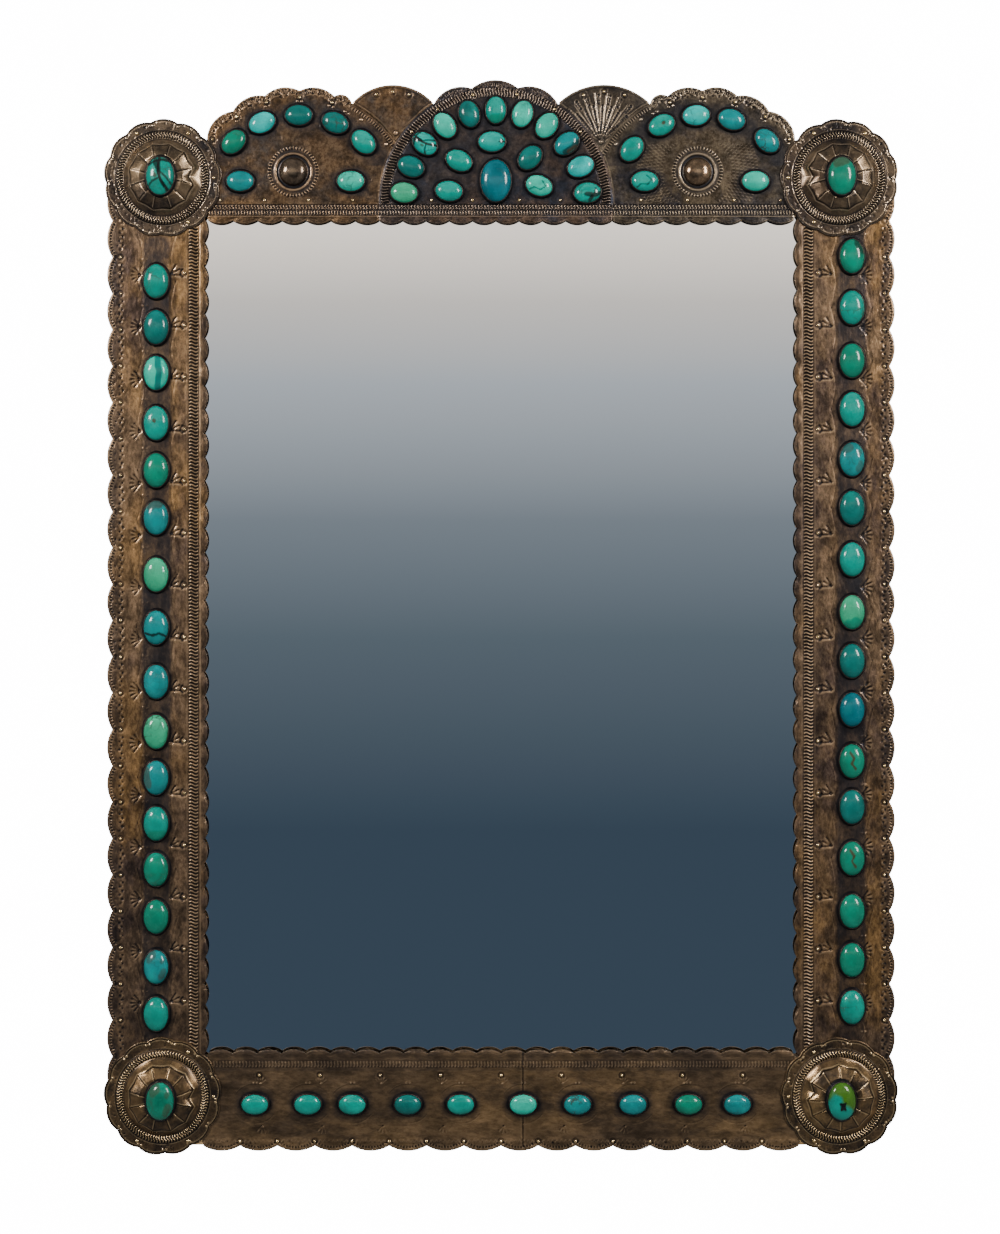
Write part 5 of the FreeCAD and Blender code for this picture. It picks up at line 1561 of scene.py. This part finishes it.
HANGER_X, EYE_Z, EYE_Y = 247.0, 304.5, 3.2
STRAP_WIDE, STRAP_LONG, STRAP_THICK, STRAP_ROUND_R = 14.0, 34.0, 1.2, 3.0
STRAP_SCREW_DROP = 24.0   # how far below the eye a strap's screw is
EYE_R, KNUCKLE_R = 1.65, 2.75
RING_R, RING_CORNER_R, WIRE_R = 12.0, 2.5, 1.5
HEAD_R, HEAD_HIGH, SHANK_R, SHANK_LONG, THREAD_PITCH = 3.2, 1.6, 1.5, 12.0, 1.1
BUTTON_X, BUTTON_Z, BUTTON_REACH, BUTTON_TAIL, BUTTON_HALF = 236.0, 165.0, 21.0, 6.0, 5.0
BUTTON_FOOT, BUTTON_TOP = 0.1, 1.6
PIVOT_FOOT = 1.7
BUMPER_X, BUMPER_Z, BUMPER_R, BUMPER_HIGH, BUMPER_ROUND_R = 200.0, -340.0, 6.0, 6.0, 1.6


def arc(cx, cz, radius, start, end, count):
    """Points on a circle, from one angle in degrees to another."""
    turns = np.radians(np.linspace(start, end, count))
    return [(cx + radius * math.cos(turn), cz + radius * math.sin(turn)) for turn in turns]


def upright_rings(x, z, radii, levels, sides):
    """Round rings about an axis that stands on the back, at (x, z)."""
    turn = np.arange(sides) * 2 * math.pi / sides
    radii = np.broadcast_to(np.asarray(radii, float).reshape(len(levels), -1), (len(levels), sides))
    rings = np.empty((len(levels), sides, 3))
    rings[..., 0] = x + radii * np.sin(turn)
    rings[..., 1] = np.asarray(levels, float)[:, None]
    rings[..., 2] = z + radii * np.cos(turn)
    return rings


def screw(x, z, foot):
    """A pan-head screw with a cross in its head and a thread on its shank."""
    sides = 64
    turn = np.arange(sides) * 2 * math.pi / sides
    depth = np.linspace(-SHANK_LONG, foot, 60)
    thread = 0.16 * np.cos(depth[:, None] * 2 * math.pi / THREAD_PITCH - turn)
    taper = np.clip((depth + SHANK_LONG) / 4.0, 0.06, 1)[:, None]
    shank = upright_rings(x, z, (SHANK_R - 0.2 + thread) * taper, depth, sides)
    share = np.concatenate([[0.9, 1.0, 1.0, 0.97, 0.9, 0.8], np.linspace(0.72, 0.05, 16)])
    rise = np.concatenate([[0.0, 0.1, 0.45], np.sqrt(1 - share[3:] ** 2) * 0.5 + 0.5])
    head = upright_rings(x, z, HEAD_R * share, foot + HEAD_HIGH * rise, sides)
    across, up = head[..., 0] - x, head[..., 2] - z
    arm = np.minimum(np.abs(across + up), np.abs(across - up)) / math.sqrt(2)
    cross = np.clip((0.52 - arm) / 0.25, 0, 1) * np.clip((1.95 - np.hypot(across, up)) / 0.3, 0, 1)
    head[..., 1] -= 0.95 * cross
    return lathe(np.concatenate([shank, head]))


def gather(pieces):
    """One set of points and faces from several."""
    return joined([(points, faces, {}) for points, faces in pieces])[:2]


def strap(side):
    """A hanger's strap, with a rounded foot and a rolled eye."""
    x, half = side * HANGER_X, STRAP_WIDE / 2
    foot = arc(half - STRAP_ROUND_R, STRAP_ROUND_R - STRAP_LONG, STRAP_ROUND_R, 0, -90, 9)
    rim = [(half, 0.0), *foot]
    rim = np.array(rim + [(-px, pz) for px, pz in rim[::-1]])
    middle, reach = np.array((0.0, -STRAP_LONG / 2)), np.array((half, STRAP_LONG / 2))
    rings = []
    for inset, y in ((0.25, 0.0), (0.0, 0.25), (0.0, STRAP_THICK - 0.3), (0.3, STRAP_THICK)):
        pulled = middle + (rim - middle) * (1 - inset / reach)
        rings.append(np.stack([x + pulled[:, 0], np.full(len(rim), y), EYE_Z + pulled[:, 1]], 1))
    leaf = lathe(np.array(rings))
    sides, ease = 32, 0.2
    turn = np.arange(sides) * 2 * math.pi / sides
    tube = ((-half, KNUCKLE_R - ease), (ease - half, KNUCKLE_R),
            (half - ease, KNUCKLE_R), (half, KNUCKLE_R - ease),
            (half, EYE_R + 0.15), (half - ease, EYE_R), (ease - half, EYE_R), (-half, EYE_R + 0.15))
    rings = []
    for along, radius in tube:
        place = np.full(sides, x + along), EYE_Y + radius * np.cos(turn), EYE_Z + radius * np.sin(turn)
        rings.append(np.stack(place, 1))
    eye = lathe(np.array(rings), loop=True)
    name = SIDES[side] + "_hanger_strap"
    make_piece(name + "_plate", *gather([leaf, eye]), HARDWARE_STEEL, "hardware_steel", [name])


def ring(side):
    """The D ring that swings in a strap's eye."""
    x, corner_r = side * HANGER_X, RING_CORNER_R
    corner_x = math.sqrt((RING_R - corner_r) ** 2 - corner_r**2)
    lean = math.degrees(math.atan2(corner_r, corner_x))
    path = [(corner_x * share, 0.0) for share in np.linspace(-1, 1, 9)[:-1]]
    path += arc(corner_x, -corner_r, corner_r, 90, -lean, 12)[:-1]
    path += arc(0, 0, RING_R, -lean, lean - 180, 48)[:-1]
    path += arc(-corner_x, -corner_r, corner_r, lean - 180, -270, 12)[:-1]
    path = np.array([(x + px, EYE_Y, EYE_Z + pz) for px, pz in path])
    along = np.roll(path, -1, 0) - np.roll(path, 1, 0)
    along /= np.linalg.norm(along, axis=1)[:, None]
    out = np.array((0.0, 1.0, 0.0))
    turn = np.arange(20)[:, None] * 2 * math.pi / 20
    rings = path[:, None] + WIRE_R * (np.cos(turn) * np.cross(out, along)[:, None] + np.sin(turn) * out)
    word = SIDES[side]
    make_piece(word + "_hanger_ring_wire", *lathe(rings, loop=True), HARDWARE_STEEL, "hardware_steel",
               [word + "_hanger_ring"], body=word + "_ring", angle=60.0)


def turn_button(side, level):
    """A brass tongue with rounded ends and eased edges."""
    word = ("top_" if level > 0 else "bottom_") + SIDES[side]
    x, z = side * BUTTON_X, level * BUTTON_Z
    tip, tail = BUTTON_REACH - BUTTON_HALF, BUTTON_TAIL - BUTTON_HALF
    rings = []
    for inset, y in ((0.3, BUTTON_FOOT), (0.0, BUTTON_FOOT + 0.25), (0.0, BUTTON_TOP - 0.35),
                     (0.15, BUTTON_TOP - 0.1), (0.4, BUTTON_TOP)):
        half = BUTTON_HALF - inset
        rim = arc(tip, 0, half, 90, -90, 17) + arc(-tail, 0, half, -90, -270, 17)
        rings.append([(x - side * along, y, z + across) for along, across in rim])
    points, faces = lathe(np.array(rings)[:, ::-side])
    make_piece("turn_button_" + word + "_tongue", points, faces, BUTTON_BRASS, "button_brass",
               ["turn_button_" + word], body=word + "_button")


def bumper(x, z):
    """A rubber pad with a rounded edge and a shallow dish in its top."""
    rounded = arc(BUMPER_R - BUMPER_ROUND_R, BUMPER_HIGH - BUMPER_ROUND_R, BUMPER_ROUND_R, 0, 90, 8)
    profile = [(BUMPER_R - 0.3, 0.0), (BUMPER_R, 0.3), *rounded]
    profile += [(3.6, BUMPER_HIGH - 0.05), (2.8, BUMPER_HIGH - 0.4), (0.5, BUMPER_HIGH - 0.45)]
    return lathe(upright_rings(x, z, *zip(*profile), 40))


def back_gear():
    """Everything that is fastened to the back."""
    for side in SIDES:
        strap(side)
        ring(side)
        turn_button(side, 1)
        turn_button(side, -1)
    anchors = [screw(side * HANGER_X, EYE_Z - STRAP_SCREW_DROP, STRAP_THICK) for side in SIDES]
    make_piece("hanger_screw_heads", *gather(anchors), HARDWARE_STEEL, "hardware_steel", ["hanger_screws"],
               angle=50.0)
    pivots = [screw(side * BUTTON_X, level * BUTTON_Z, PIVOT_FOOT) for side in SIDES for level in (1, -1)]
    make_piece("turn_button_screw_heads", *gather(pivots), HARDWARE_STEEL, "hardware_steel",
               ["turn_button_screws"], angle=50.0)
    pads = [bumper(side * BUMPER_X, BUMPER_Z) for side in SIDES]
    make_piece("wall_bumper_pads", *gather(pads), RUBBER, "bumper_rubber", ["wall_bumpers"])


# Wood, glass and back, on the solids themselves

def dress(material, *names):
    for name in names:
        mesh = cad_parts[name].data
        mesh.materials.clear()
        mesh.materials.append(material)


def dress_frame():
    dress(wood("wood_upright", (90.0, 160.0, 5.0)), "left_stile", "right_stile")
    dress(wood("wood_level", (5.0, 160.0, 90.0)), "top_rail", "bottom_rail")
    dress(mirror_glass(), "mirror_glass")
    dress(fibre("card", srgb(176, 160, 132), srgb(140, 124, 100), 500.0), "packing_sheet")
    dress(fibre("back_board", srgb(142, 104, 66), srgb(110, 78, 48), 900.0, 0.6), "backing_board")


dress_frame()
back_gear()
side_sheet(-1)
side_sheet(1)
bottom_sheet()
arch_sheet(-1)
arch_sheet(1)
middle_sheet()
fan_sheet(-1)
fan_sheet(1)
for corner, (across, up, star_turn, lobe_turn) in CONCHOS.items():
    concho("concho_" + corner, across * CORNER_X, up * CORNER_Z, star_turn, lobe_turn)
boss(-1)
boss(1)
all_beads()
for row, settings in SETTINGS.items():
    row_of_stones(row, settings)
